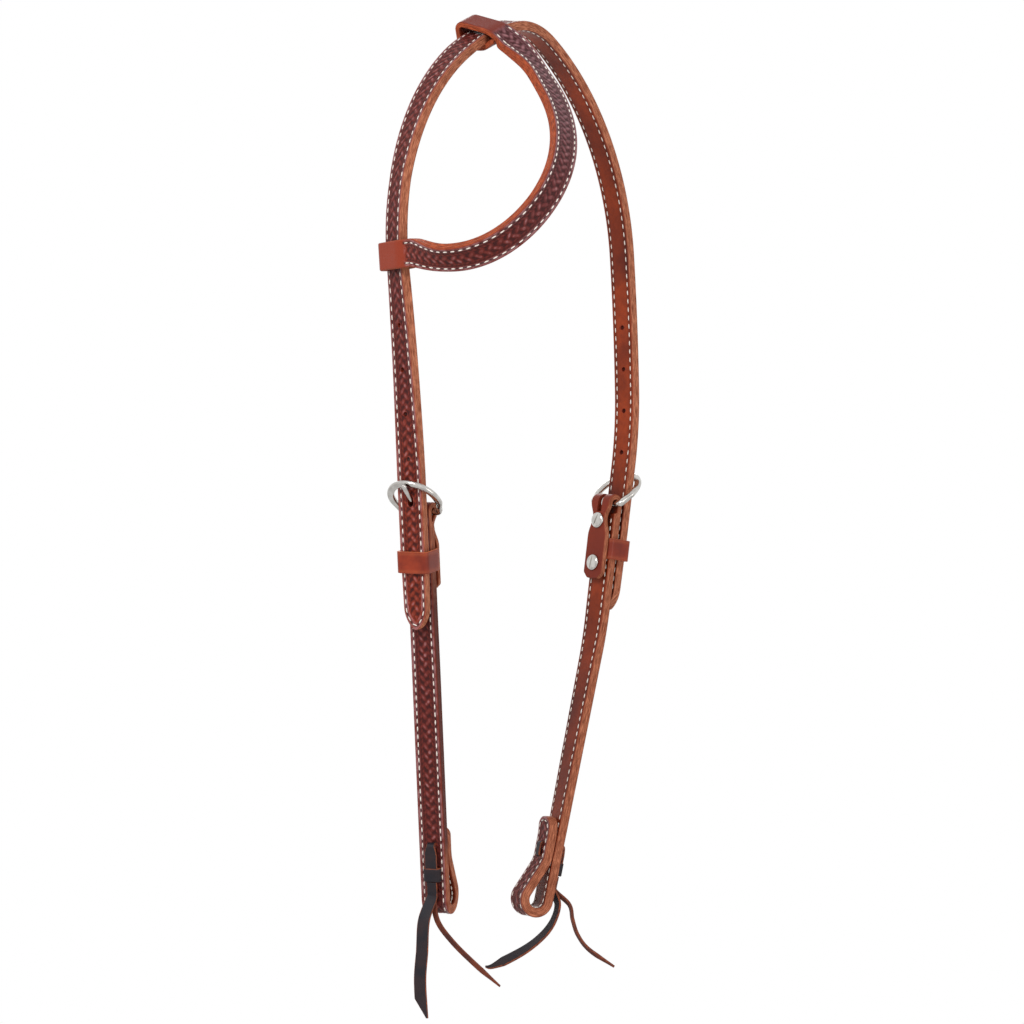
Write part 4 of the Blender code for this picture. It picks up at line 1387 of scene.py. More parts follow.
@dataclass(frozen=True)
class StrapLeather:
    """Bridle leather: a dark tooled face, smooth folds, a russet back and orange edges, with
    painted highlights and sheen on the tooling, partly painted shade in its grooves and painted
    shade in its holes.
    """

    ridge: tuple = srgb(116, 42, 36)
    # colour of the pressed grooves: partly the pressed leather's own darker tone, partly painted
    # shade
    groove_tone_and_shade: tuple = srgb(54, 17, 16)
    warm_ridge: tuple = srgb(150, 54, 30)
    # painted sheen: a purplish ridge colour where the face turns up towards the light
    painted_sheen_ridge: tuple = srgb(126, 78, 84)
    # painted highlight: a pale purplish grey on the tops of the tooling's raised lobes
    crest: tuple = srgb(164, 116, 118)
    smooth: tuple = srgb(160, 62, 34)
    smooth_dark: tuple = srgb(112, 38, 24)
    lining: tuple = srgb(152, 58, 22)
    lining_dark: tuple = srgb(92, 28, 10)
    rim: tuple = srgb(212, 132, 98)
    rim_dark: tuple = srgb(114, 54, 32)
    # darker edge colour where the edge-darkening mask asks for it
    rim_darkened: tuple = srgb(68, 28, 30)
    # painted shade: near black in needle holes and stitch channels
    pit: tuple = srgb(8, 3, 3)
    roughness: float = 0.42
    shine: float = 0.16
    coat: float = 0.06
    coat_roughness: float = 0.34

    def make(self, name: str, effects: EffectGroups) -> Material:
        """Builds the finish from the straps' masks.

        Args:
            name: the material's name.
            effects: the shared effects.

        Returns:
            The material.
        """
        material, board, shader = new_finish(name)
        mottle = board.group(effects.mottle, Slow=26.0, Quick=240.0)
        slow, quick = mottle.outputs["Slow"], mottle.outputs["Quick"]
        words = ("relief", "pits", "edge", "under", "tooled", "warm", "burnish")
        relief, pits, edge, under, tooled, warm, burnish = (board.mask(word) for word in words)
        ridge = board.mixed(board.math("MAXIMUM", warm, 0.0), self.ridge, self.warm_ridge)
        # painted sheen: where the mask goes below zero the ridges turn purplish
        painted_sheen_share = board.math("MAXIMUM", board.product(warm, -1.0), 0.0)
        ridge = board.mixed(painted_sheen_share, ridge, self.painted_sheen_ridge)
        ridge = board.mixed(board.product(quick, 0.3), ridge, self.groove_tone_and_shade)
        # painted highlight mask: strongest on the lobes' tops, weaker where the quick mottle runs
        crest = board.product(board.stretched(relief, 0.06, 0.4, 0.85, 0.0), board.rest(quick))
        # deeper tooling turns to the groove colour: partly the pressed leather's own tone, partly
        # painted shade
        pressed = board.stretched(relief, 0.1, 0.95)
        worked = board.mixed(pressed, board.mixed(crest, ridge, self.crest), self.groove_tone_and_shade)
        glow = board.math("ADD", board.product(warm, 0.34), board.product(slow, 0.3), clamp=True)
        face = board.mixed(tooled, board.mixed(glow, self.smooth_dark, self.smooth), worked)
        lining = board.mixed(slow, self.lining, self.lining_dark)
        lining = board.mixed(board.product(quick, 0.35), lining, self.lining_dark)
        fibres = board.group(effects.fibres)
        rim = board.mixed(fibres.outputs["Tone"], self.rim_dark, self.rim)
        rim = board.mixed(board.product(quick, 0.45), rim, self.rim_dark)
        # edge colour darkened along the stretch that the mask marks
        rim = board.mixed(burnish, rim, self.rim_darkened)
        colour = board.mixed(edge, board.mixed(under, face, lining), rim)
        grain = board.group(effects.grain, Scale=1100.0, Creases=0.5)
        rough = board.total(self.roughness, board.product(edge, 0.16))
        rough = board.total(rough, board.product(grain.outputs["Pores"], 0.08))
        raised = board.product(fibres.outputs["Height"], board.product(edge, 2.0))
        inputs = {
            # painted shade: needle holes and stitch channels turn near black
            "Base Color": board.mixed(pits, colour, self.pit),
            "Roughness": board.total(rough, board.product(pressed, 0.1)),
            "Specular IOR Level": self.shine,
            "Coat Weight": board.product(board.rest(edge), self.coat),
            "Coat Roughness": self.coat_roughness,
            "Normal": board.bump(board.total(grain.outputs["Height"], raised), 0.35, 0.00012),
        }
        board.fill(shader, inputs)
        return material


@dataclass(frozen=True)
class SmoothLeather:
    """Plain semi-gloss bridle leather with paler, rubbed edges."""

    face: tuple = srgb(152, 56, 30)
    dark: tuple = srgb(116, 38, 22)
    rim: tuple = srgb(186, 98, 58)
    roughness: float = 0.34

    def make(self, name: str, effects: EffectGroups) -> Material:
        """Builds the finish.

        Args:
            name: the material's name.
            effects: the shared effects.

        Returns:
            The material.
        """
        material, board, shader = new_finish(name)
        mottle = board.group(effects.mottle, Slow=90.0, Quick=500.0)
        colour = board.mixed(mottle.outputs["Slow"], self.face, self.dark)
        colour = board.mixed(board.product(mottle.outputs["Quick"], 0.2), colour, self.dark)
        grain = board.group(effects.grain, Scale=1300.0, Creases=0.4)
        inputs = {
            "Base Color": board.mixed(board.mask("edge"), colour, self.rim),
            "Roughness": board.total(self.roughness, board.product(grain.outputs["Pores"], 0.1)),
            "Specular IOR Level": 0.2,
            "Coat Weight": 0.12,
            "Coat Roughness": 0.24,
            "Normal": board.bump(grain.outputs["Height"], 0.25, 0.0001),
        }
        board.fill(shader, inputs)
        return material


@dataclass(frozen=True)
class LaceLeather:
    """Soft, nearly black lace leather whose cut edges show its tan core."""

    face: tuple = srgb(30, 28, 34)
    worn: tuple = srgb(46, 34, 36)
    rim: tuple = srgb(168, 84, 46)
    roughness: float = 0.55

    def make(self, name: str, effects: EffectGroups) -> Material:
        """Builds the finish.

        Args:
            name: the material's name.
            effects: the shared effects.

        Returns:
            The material.
        """
        material, board, shader = new_finish(name)
        mottle = board.group(effects.mottle, Slow=110.0, Quick=620.0)
        colour = board.mixed(mottle.outputs["Slow"], self.face, self.worn)
        fibres = board.group(effects.fibres, Along=240.0, Across=2200.0)
        rim = board.mixed(fibres.outputs["Tone"], self.worn, self.rim)
        grain = board.group(effects.grain, Scale=1500.0, Creases=0.8)
        inputs = {
            "Base Color": board.mixed(board.mask("edge"), colour, rim),
            "Roughness": self.roughness,
            "Specular IOR Level": 0.22,
            "Normal": board.bump(grain.outputs["Height"], 0.4, 0.00012),
        }
        board.fill(shader, inputs)
        return material


@dataclass(frozen=True)
class WaxedThread:
    """Waxed cream thread, its plies laid slantwise."""

    pale: tuple = srgb(252, 246, 238)
    shaded: tuple = srgb(218, 202, 188)

    def make(self, name: str) -> Material:
        """Builds the finish.

        Args:
            name: the material's name.

        Returns:
            The material.
        """
        material, board, shader = new_finish(name)
        plies = board.noise(2400.0, 2.0)
        inputs = {
            "Base Color": board.mixed(board.stretched(plies, 0.35, 0.65), self.shaded, self.pale),
            "Roughness": 0.62,
            "Normal": board.bump(plies, 0.4, 0.0001),
        }
        board.fill(shader, inputs)
        return material


@dataclass(frozen=True)
class BrightNickel:
    """Polished nickel with faint rubs."""

    bright: tuple = srgb(204, 201, 196)
    dull: tuple = srgb(184, 180, 175)

    def make(self, name: str) -> Material:
        """Builds the finish.

        Args:
            name: the material's name.

        Returns:
            The material.
        """
        material, board, shader = new_finish(name)
        haze = board.noise(240.0, 5.0)
        inputs = {
            "Base Color": board.mixed(board.stretched(haze, 0.35, 0.65), self.bright, self.dull),
            "Metallic": 1.0,
            "Roughness": board.stretched(haze, 0.3, 0.7, 0.1, 0.17),
            "Normal": board.bump(board.noise(1600.0, 2.0), 0.08, 0.00005),
        }
        board.fill(shader, inputs)
        return material


@dataclass
class Finishes:
    """Every finish of the headstall, made once."""

    effects: EffectGroups = field(default_factory=EffectGroups)

    def __post_init__(self) -> None:
        """Builds the materials."""
        straps = {
            "crown": StrapLeather(rim=srgb(226, 146, 110), rim_dark=srgb(122, 60, 38)),
            "ear": StrapLeather(rim=srgb(202, 98, 60), rim_dark=srgb(108, 44, 24)),
            "cheek": StrapLeather(),
        }
        self.crown, self.ear, self.cheek = (
            finish.make(word + "_leather", self.effects) for word, finish in straps.items()
        )
        self.smooth = SmoothLeather().make("smooth_leather", self.effects)
        self.lace = LaceLeather().make("lace_leather", self.effects)
        tan = LaceLeather(face=srgb(112, 52, 32), worn=srgb(74, 38, 32), rim=srgb(140, 70, 42))
        self.tan_lace = tan.make("tan_lace_leather", self.effects)
        self.thread = WaxedThread().make("waxed_thread")
        self.nickel = BrightNickel().make("bright_nickel")


# Crown strap


@dataclass
class CrownHalf:
    """One side of the crown: its stations down to the tip, and what hangs from it."""

    side: Side
    stations: list[Station]
    heel: Station
    walker: Walker

    @property
    def bar(self) -> np.ndarray:
        """The centre of the buckle's heel bar."""
        return self.heel.at(outward=HEEL_DEPTH)

    def frame_directions(self) -> tuple[np.ndarray, np.ndarray]:
        """The directions from the heel bar to the bow and, square to it, to the tongue's side.

        Returns:
            The two directions.
        """
        tilt = math.radians(BUCKLE_TILT)
        rise = math.sin(tilt) * self.heel.normal - math.cos(tilt) * self.heel.along
        drop = math.cos(tilt) * self.heel.normal + math.sin(tilt) * self.heel.along
        return rise, drop


def crown_start(side: Side) -> Walker:
    """A walker at the highest point, with the lining's face on the origin.

    Args:
        side: the side to walk down.

    Returns:
        The walker.
    """
    walker = Walker(side, np.zeros(3), twist=CROWN_TOP_TWIST)
    walker.shift_out(-LINING_FACE)
    return walker


def side_legs(side: Side) -> list[Leg]:
    """The crown's legs from its highest point down to the buckle zone.

    Args:
        side: the side.

    Returns:
        The legs in order.
    """
    if side is Side.OFF:
        return [
            arc_leg(TOP_RADIUS, 32.3),
            arc_leg(OFF_ARCH_RADIUS, 56.0),
            Leg(0.082, 4.0),
            Leg(0.046, 4.0, 6.4, BUCKLE_TWIST - CROWN_TOP_TWIST),
        ]
    return [
        arc_leg(TOP_RADIUS, NEAR_TOP_TURN),
        arc_leg(ARCH_RADIUS, TOP_LOOP_HOLD_TURN),
        arc_leg(ARCH_RADIUS, ARCH_TWIST_TURN, LOWER_LOOP_TWIST - CROWN_TOP_TWIST),
        arc_leg(ARCH_RADIUS, 20.0),
        Leg(0.073, -2.5, 0.0, -3.0 - LOWER_LOOP_TWIST),
        Leg(0.046, 7.0, 6.4, BUCKLE_TWIST + 3.0),
    ]


def crown_half(side: Side) -> CrownHalf:
    """Walks one side of the crown from its highest point to its billet's tip.

    Args:
        side: the side.

    Returns:
        The half.
    """
    walker = crown_start(side)
    stations = [walker.station()] + walker.walk_all(side_legs(side))
    stations += walker.walk(Leg(BILLET_ABOVE_HEEL))
    heel = walker.station()
    below = replace(walker)
    extra = NEAR_BILLET_EXTRA if side is Side.NEAR else 0.0
    stations += walker.walk(Leg(BILLET_BELOW_HEEL + extra - TIP_LENGTH))
    for station in stations[-math.ceil(BILLET_TAPER_LENGTH / FINE_STEP) :]:
        left = np.linalg.norm(station.point - stations[-1].point)
        station.half_width -= BILLET_TAPER * max(0.0, 1.0 - left / BILLET_TAPER_LENGTH)
    stations += rounded_tip(stations[-1], TIP_LENGTH, BILLET_POINT)
    return CrownHalf(side, stations, heel, below)


def seat(piece: Object, body: str, slot: str, *nodes: str) -> Object:
    """Sets a piece on its body, in place of its plain solids where it has them.

    Args:
        piece: the piece.
        body: the body that it rides on.
        slot: not used.
        nodes: the plain solids.

    Returns:
        The piece.
    """
    if nodes:
        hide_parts(*nodes)
    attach(piece, body)
    return piece


def dress_strap(
    skin: StrapSkin, leather: Material, thread: Material, body: str, nodes: Sequence[str]
) -> list[Object]:
    """Makes a strap's skin and stitches and sets them on their body.

    Args:
        skin: the strap's skin.
        leather: its finish.
        thread: the stitches' finish.
        body: the body that both ride on.
        nodes: the plain layers that they replace.

    Returns:
        The strap and its stitches.
    """
    strap = placed_object(skin.name, skin.build(), leather)
    stitches = skin.sew(skin.name + "_stitches", thread)
    return [seat(strap, body, "tooled_leather", *nodes), seat(stitches, body, "tooled_leather")]


@dataclass
class CrownStrap:
    """The strap from the near billet's tip over the top to the off billet's tip."""

    near: CrownHalf
    off: CrownHalf
    hole_sides: int = 24
    tongue_hole_width: float = 0.0038
    tongue_hole_slack: float = 0.0005
    tongue_swing: float = 8.0

    def skin(self) -> StrapSkin:
        """The crown's skin, stitched all round.

        Returns:
            The skin.
        """
        course = Course(self.near.stations[::-1] + self.off.stations[1:])
        length = course.length
        middle = course.run_near(self.near.stations[0].point)
        warm = ((0.0, 1.0), (0.085, 0.9), (0.14, 0.15), (length - 0.12, 0.1), (length, 0.5))
        return StrapSkin(
            "crown_strap",
            course,
            sewn_line(0.0, length, TIP_LENGTH, TIP_LENGTH, StitchSize(lift=0.0003), BILLET_POINT),
            warm=Profile(warm),
            start_tip=TIP_LENGTH,
            end_tip=TIP_LENGTH,
            point=BILLET_POINT,
            pattern_middle=middle,
        )

    def hole_shapes(self, half: CrownHalf) -> list[Prism]:
        """The hole in use, drawn long by the tongue, and the spare ones above it.

        Args:
            half: the side whose holes they are.

        Returns:
            The prisms to cut with.
        """
        tilt = math.radians(BUCKLE_TILT)
        rise, drop = half.frame_directions()
        middle = (OUTER_FACE + LINING_FACE) / 2
        reach = (middle - HEEL_DEPTH - TONGUE_OFFSET * math.cos(tilt)) / math.sin(tilt)
        centre = half.bar + TONGUE_OFFSET * drop + reach * rise
        swing = reach * math.radians(self.tongue_swing)
        stack = OUTER_FACE - LINING_FACE
        matrix = basis(centre + drop * swing / 2, half.heel.front, np.cross(rise, half.heel.front))
        length = TONGUE_DIAMETER + 2 * self.tongue_hole_slack + swing
        depth = 2 * stack / math.sin(tilt)
        prisms = [Prism(matrix, self.tongue_hole_width, length, depth, self.hole_sides)]
        course = Course(half.stations)
        first = course.run_near(half.heel.point)
        first += float(np.dot(centre - half.heel.point, half.heel.along))
        for number in range(1, SPARE_HOLES + 1):
            place = course.read(np.array([first - number * HOLE_PITCH]))
            normal, front = place.normal[0], place.front[0]
            matrix = basis(place.point[0], front, np.cross(normal, front))
            prisms.append(Prism(matrix, HOLE_DIAMETER, HOLE_DIAMETER, 2 * stack, self.hole_sides))
        return prisms

    def build(self, finishes: Finishes) -> list[Object]:
        """Makes the strap with its holes, and its stitches.

        Args:
            finishes: every finish.

        Returns:
            The pieces.
        """
        nodes = ("crown_outer", "crown_lining")
        pieces = dress_strap(self.skin(), finishes.crown, finishes.thread, "headstall", nodes)
        holes = self.hole_shapes(self.near) + self.hole_shapes(self.off)
        cut_out(pieces[0], holes, STRAP_CREASE)
        return pieces


# Cheek straps


@dataclass
class CheekStrap:
    """A cheek: chape folded over the heel bar, tooled and lined front, bit loop and flap."""

    half: CrownHalf
    length: float
    bend_turn: float
    twist: float
    flap: float
    lift: float
    # how dark the edge colour turns along the front
    burnish: float = 0.0
    waist_width: float = 0.0106
    waist_below: float = 0.009
    waist_spread: float = 0.0115
    chamfer: float = 0.0035
    loop_radius: float = 0.0073
    loop_drop: float = 0.0232
    loop_flare: float = 24.0
    close_radius: float = 0.020
    lift_turn: float = 8.0
    lift_full: float = 0.008
    tip_length: float = 0.006
    bend_length: float = 0.030
    bend_sway: float = 2.5
    bend_share: float = 0.35
    slot_width: float = 0.0036
    slot_below: float = 0.0055
    slot_past: float = 0.001
    chape_steps: int = 60
    fold_step: float = 0.0004
    lining_ease: float = 0.0012
    tooling_ease: float = 0.004
    sewn_below: float = 0.003
    burnish_start: float = 0.05
    burnish_end: float = 0.012

    def waist_half_width(self, below: float) -> float:
        """Half the chape's width, drawn in at its waist.

        Args:
            below: the level below the heel bar.

        Returns:
            The half width.
        """
        spread = self.waist_spread if below > self.waist_below else self.waist_below
        share = min(abs(below - self.waist_below) / spread, 1.0)
        drawn = (STRAP_WIDTH - self.waist_width) / 2 * math.cos(share * math.pi / 2) ** 2
        return HALF_WIDTH - drawn

    def chape(self) -> list[Station]:
        """From the chape's lower end up the back and over the heel bar.

        Returns:
            The stations in order.
        """
        end = self.half.heel.moved(outward=CHAPE_SEAM, onward=CHAPE_BELOW_HEEL).reversed()
        stations = []
        for onward in np.linspace(0.0, CHAPE_BELOW_HEEL, self.chape_steps):
            width = self.waist_half_width(CHAPE_BELOW_HEEL - onward)
            if onward < self.chamfer:
                width = HALF_WIDTH - (self.chamfer - onward)
            stations.append(end.moved(onward=onward).narrowed(width))
        return stations + bend_on(stations[-1], math.pi * FOLD_RADIUS, 180.0, self.fold_step)

    def loop(self, start: Station) -> list[Station]:
        """From where the two legs part, round the bit loop to the flap's round end.

        Args:
            start: where the legs part.

        Returns:
            The stations after it.
        """
        flare = math.radians(self.loop_flare)
        closing = self.close_radius * (1 - math.cos(flare))
        rise = (self.loop_radius * (1 + math.cos(flare)) - LEG_SPACING - closing) / math.sin(flare)
        turn = 180.0 + self.loop_flare
        stations = bend_through(
            start,
            (self.loop_drop,),
            (self.loop_radius * math.radians(turn), turn),
            (rise,),
            (self.close_radius * flare, -self.loop_flare),
            (self.flap,),
            (self.lift, -self.lift_turn * self.lift / self.lift_full),
        )
        return stations + rounded_tip(stations[-1], self.tip_length)

    def front(self) -> list[Station]:
        """The front's stations from the heel bar down to where the loop's legs part.

        Returns:
            The stations in order.
        """
        walker = replace(self.half.walker)
        walker.shift_out(CHEEK_DEPTH)
        bend_twist = self.twist * self.bend_share
        legs = [
            Leg(BILLET_BELOW_HEEL),
            Leg(self.bend_length, self.bend_turn, self.bend_sway, bend_twist),
            Leg(self.length, 0.0, 0.0, self.twist - bend_twist),
        ]
        return walker.walk_all(legs)

    def build(self, finishes: Finishes) -> list[Object]:
        """Makes the strap with the tongue's slot, and its stitches.

        Args:
            finishes: every finish.

        Returns:
            The pieces.
        """
        front, chape = self.front(), self.chape()
        course = Course(chape + front + self.loop(front[-1]))
        fold_end = Course(chape).length
        lined = fold_end + LINING_BELOW_HEEL
        joined = Course(chape + front).length
        darkened = (lined + self.burnish_start, joined - self.burnish_end)
        dark = [(run, self.burnish) for run in darkened]
        stitch = StitchSize(length=0.003, pitch=0.00465)
        side = self.half.side.word
        skin = StrapSkin(
            side + "_cheek_strap",
            course,
            sewn_line(lined + self.sewn_below, course.length, 0.0, self.tip_length, stitch),
            back=Profile(((lined, SINGLE_BACK), (lined + self.lining_ease, LINING_FACE))),
            tooled=Profile(((fold_end, 0.0), (fold_end + self.tooling_ease, 1.0))),
            burnish=Profile(((lined, 0.0), *dark, (joined, 0.0))),
            end_tip=self.tip_length,
            pattern_middle=course.length,
        )
        nodes = (side + "_cheek_outer", side + "_cheek_lining")
        pieces = dress_strap(skin, finishes.cheek, finishes.thread, "headstall", nodes)
        cut_out(pieces[0], [self.slot()], STRAP_CREASE)
        return pieces

    def slot(self) -> Prism:
        """The tongue's slot over the fold.

        Returns:
            The box to cut with.
        """
        heel = self.half.heel
        reach = FOLD_INNER_RADIUS + OUTER_THICKNESS + self.slot_past
        centre = heel.at(outward=HEEL_DEPTH, onward=(self.slot_below - reach) / 2)
        matrix = basis(centre, heel.front, np.cross(heel.normal, heel.front))
        return Prism(matrix, self.slot_width, self.slot_below + reach, 2 * reach)


# Ear piece


@dataclass
class EarPiece:
    """The ear piece: tooled and lined between two smooth loops that wrap the crown."""

    lower_turn: float = 92.0
    top_turn: float = 22.4
    clearance: float = 0.0009
    corner: float = 0.0018
    loop_front: float = 0.0095
    join: float = 0.0115
    lead: float = 0.016
    blend: float = 0.16
    seam_rise: float = 0.0016
    wedge: float = 14.0
    band_tilt: float = 13.0
    leave_tilt: float = 36.0
    leave_drop: float = 0.0062
    point_shares: tuple = (
        (-1.177, -0.906, -1.346),
        (-0.688, -0.791, -0.558),
        (-0.523, -0.833, -0.696),
    )
    centre_shares: tuple = (-0.55, -0.18, -0.70)
    steps: int = 160
    top_joined: int = 8
    rolls: tuple = ((0.45, 0.0), (0.6, 12.0), (0.7, 16.0), (0.8, 22.0), (0.92, 18.0), (1.0, 12.0))
    link_steps: int = 16
    corner_step: float = 0.0003
    lower_lining: tuple = (0.0008, 0.003)
    upper_lining: tuple = (0.004, 0.0062)
    lower_tooling: tuple = (-0.006, -0.003)
    upper_tooling: tuple = (0.009, 0.0115)
    lower_stitch: float = -0.005
    upper_stitch: float = 0.0095
    # warmer tone at the lower loop; below zero, painted sheen on the ear's top part
    warmth: tuple = ((-0.006, 1.0), (0.0, 0.45), (0.07, 0.1), (0.12, -0.4), (0.17, -1.0))

    def place(self, turn: float) -> Station:
        """The crown's station on the near arch at a turn from the highest point.

        Args:
            turn: the turn in degrees.

        Returns:
            The station.
        """
        walker = crown_start(Side.NEAR)
        walker.walk(arc_leg(TOP_RADIUS, NEAR_TOP_TURN))
        past_hold = turn - NEAR_TOP_TURN - TOP_LOOP_HOLD_TURN
        share = min(max(past_hold / ARCH_TWIST_TURN, 0.0), 1.0)
        twist = share * (LOWER_LOOP_TWIST - CROWN_TOP_TWIST)
        walker.walk(arc_leg(ARCH_RADIUS, turn - NEAR_TOP_TURN, twist))
        return walker.station()

    def loop(self, place: Station, tilt: float, leave: Station, joined: int) -> list[Station]:
        """From the return end under the crown, round its rear edge and over it to the ear.

        Args:
            place: the crown's station in the loop's middle.
            tilt: how far the band over the crown tilts, in degrees.
            leave: where the ear leaves the loop.
            joined: how many stations short of there the return end meets the ear.

        Returns:
            The loop's stations.
        """
        corner = self.corner - SEAM_GAP / 2
        clear = self.clearance - SEAM_GAP / 2
        slant = math.radians(tilt)
        fillet = corner * math.tan(math.radians(90.0 + tilt) / 2)
        span = STRAP_WIDTH + clear
        rise = OUTER_FACE - LINING_FACE + 2 * clear + span * math.tan(slant)
        below = place.at(outward=LINING_FACE - clear, forward=HALF_WIDTH / 2)
        under = Station(below, -place.front, -place.normal, leave.front)
        stations = bend_through(
            under,
            (HALF_WIDTH / 2 + HALF_WIDTH + clear - corner,),
            (corner * math.pi / 2, 90.0, self.corner_step),
            (rise - corner - fillet,),
            (corner * math.radians(90.0 + tilt), 90.0 + tilt, self.corner_step),
            (span / math.cos(slant) - fillet,),
        )
        stations += linked(stations[-1], leave)
        tip = bend_on(stations[-1 - joined].reversed(), 0.0, -self.wedge)[0]
        return [tip] + linked(tip, under) + stations

    def leaving(self, place: Station, tilt: float, drop: float, sense: float) -> Station:
        """Where the ear leaves a loop, turned down from the crown's face.

        Args:
            place: the crown's station in the loop's middle.
            tilt: the turn in degrees.
            drop: how far below the crown's face it lies.
            sense: 1 for the lower loop, -1 for the top one.

        Returns:
            The station.
        """
        rise = (OUTER_FACE + LINING_FACE) / 2 + self.seam_rise - drop
        point = place.at(outward=rise, forward=self.loop_front + self.join)
        front = sense * np.cross(place.front, place.normal)
        level = Station(point, place.front, place.normal, front)
        return bend_on(level, 0.0, tilt)[0]

    def route(self, lower: Station, upper: Station) -> list[Station]:
        """Stations of the ear piece between its joins, facing outwards from its middle.

        Args:
            lower: where the ear leaves the lower loop.
            upper: where it meets the top one.

        Returns:
            The stations in order.
        """
        points = [lower.point, lower.at(onward=self.lead)]
        points += [leaned(np.array(shares) * ARCH_RADIUS) for shares in self.point_shares]
        points += [upper.at(onward=-self.lead), upper.point]
        middle = leaned(np.array(self.centre_shares) * ARCH_RADIUS)
        stations = []
        for i in range(self.steps + 1):
            t = i / self.steps
            point, along = bezier(points, t)
            first = 1.0 - smooth_share(t / self.blend)
            last = smooth_share((t - 1.0 + self.blend) / self.blend)
            outward = (point - middle) / np.linalg.norm(point - middle)
            facing = first * lower.normal + last * upper.normal + (1.0 - first - last) * outward
            station = Station.facing(point, along, facing)
            stations.append(station.rolled(-float(Profile(self.rolls).at(t))))
        return stations

    def build(self, finishes: Finishes) -> list[Object]:
        """Makes the strap and its stitches.

        Args:
            finishes: every finish.

        Returns:
            The pieces.
        """
        low, top = self.place(self.lower_turn), self.place(self.top_turn)
        leaving = self.leaving(low, 0.0, 0.0, 1.0)
        leaving_top = self.leaving(top, self.leave_tilt, self.leave_drop, -1.0)
        head = self.loop(low, 0.0, leaving, 0)
        tail = self.loop(top, self.band_tilt, leaving_top, self.top_joined)[::-1]
        full = self.rolls[-1][1]
        for i in range(self.link_steps + 1):
            tail[i] = tail[i].rolled(-full * (1.0 - smooth_share(i / self.link_steps)))
        arriving = replace(leaving_top, along=-leaving_top.along)
        free = self.route(leaving, arriving)
        course = Course(head + free[1:-1] + tail)
        start = Course(head).length
        end = course.length - Course(tail).length
        levels = (SINGLE_BACK, LINING_FACE)
        back = [(start + past, level) for past, level in zip(self.lower_lining, levels)]
        back += [(end + past, level) for past, level in zip(self.upper_lining, levels[::-1])]
        tooled = [(start + past, share) for past, share in zip(self.lower_tooling, (0.0, 1.0))]
        tooled += [(end + past, share) for past, share in zip(self.upper_tooling, (1.0, 0.0))]
        skin = StrapSkin(
            "ear_strap",
            course,
            sewn_line(start + self.lower_stitch, end + self.upper_stitch, 0.0, 0.0),
            back=Profile(back),
            tooled=Profile(tooled),
            warm=Profile([(start + past, value) for past, value in self.warmth]),
        )
        return dress_strap(skin, finishes.ear, finishes.thread, "ear", ("ear_outer", "ear_lining"))


# Keepers


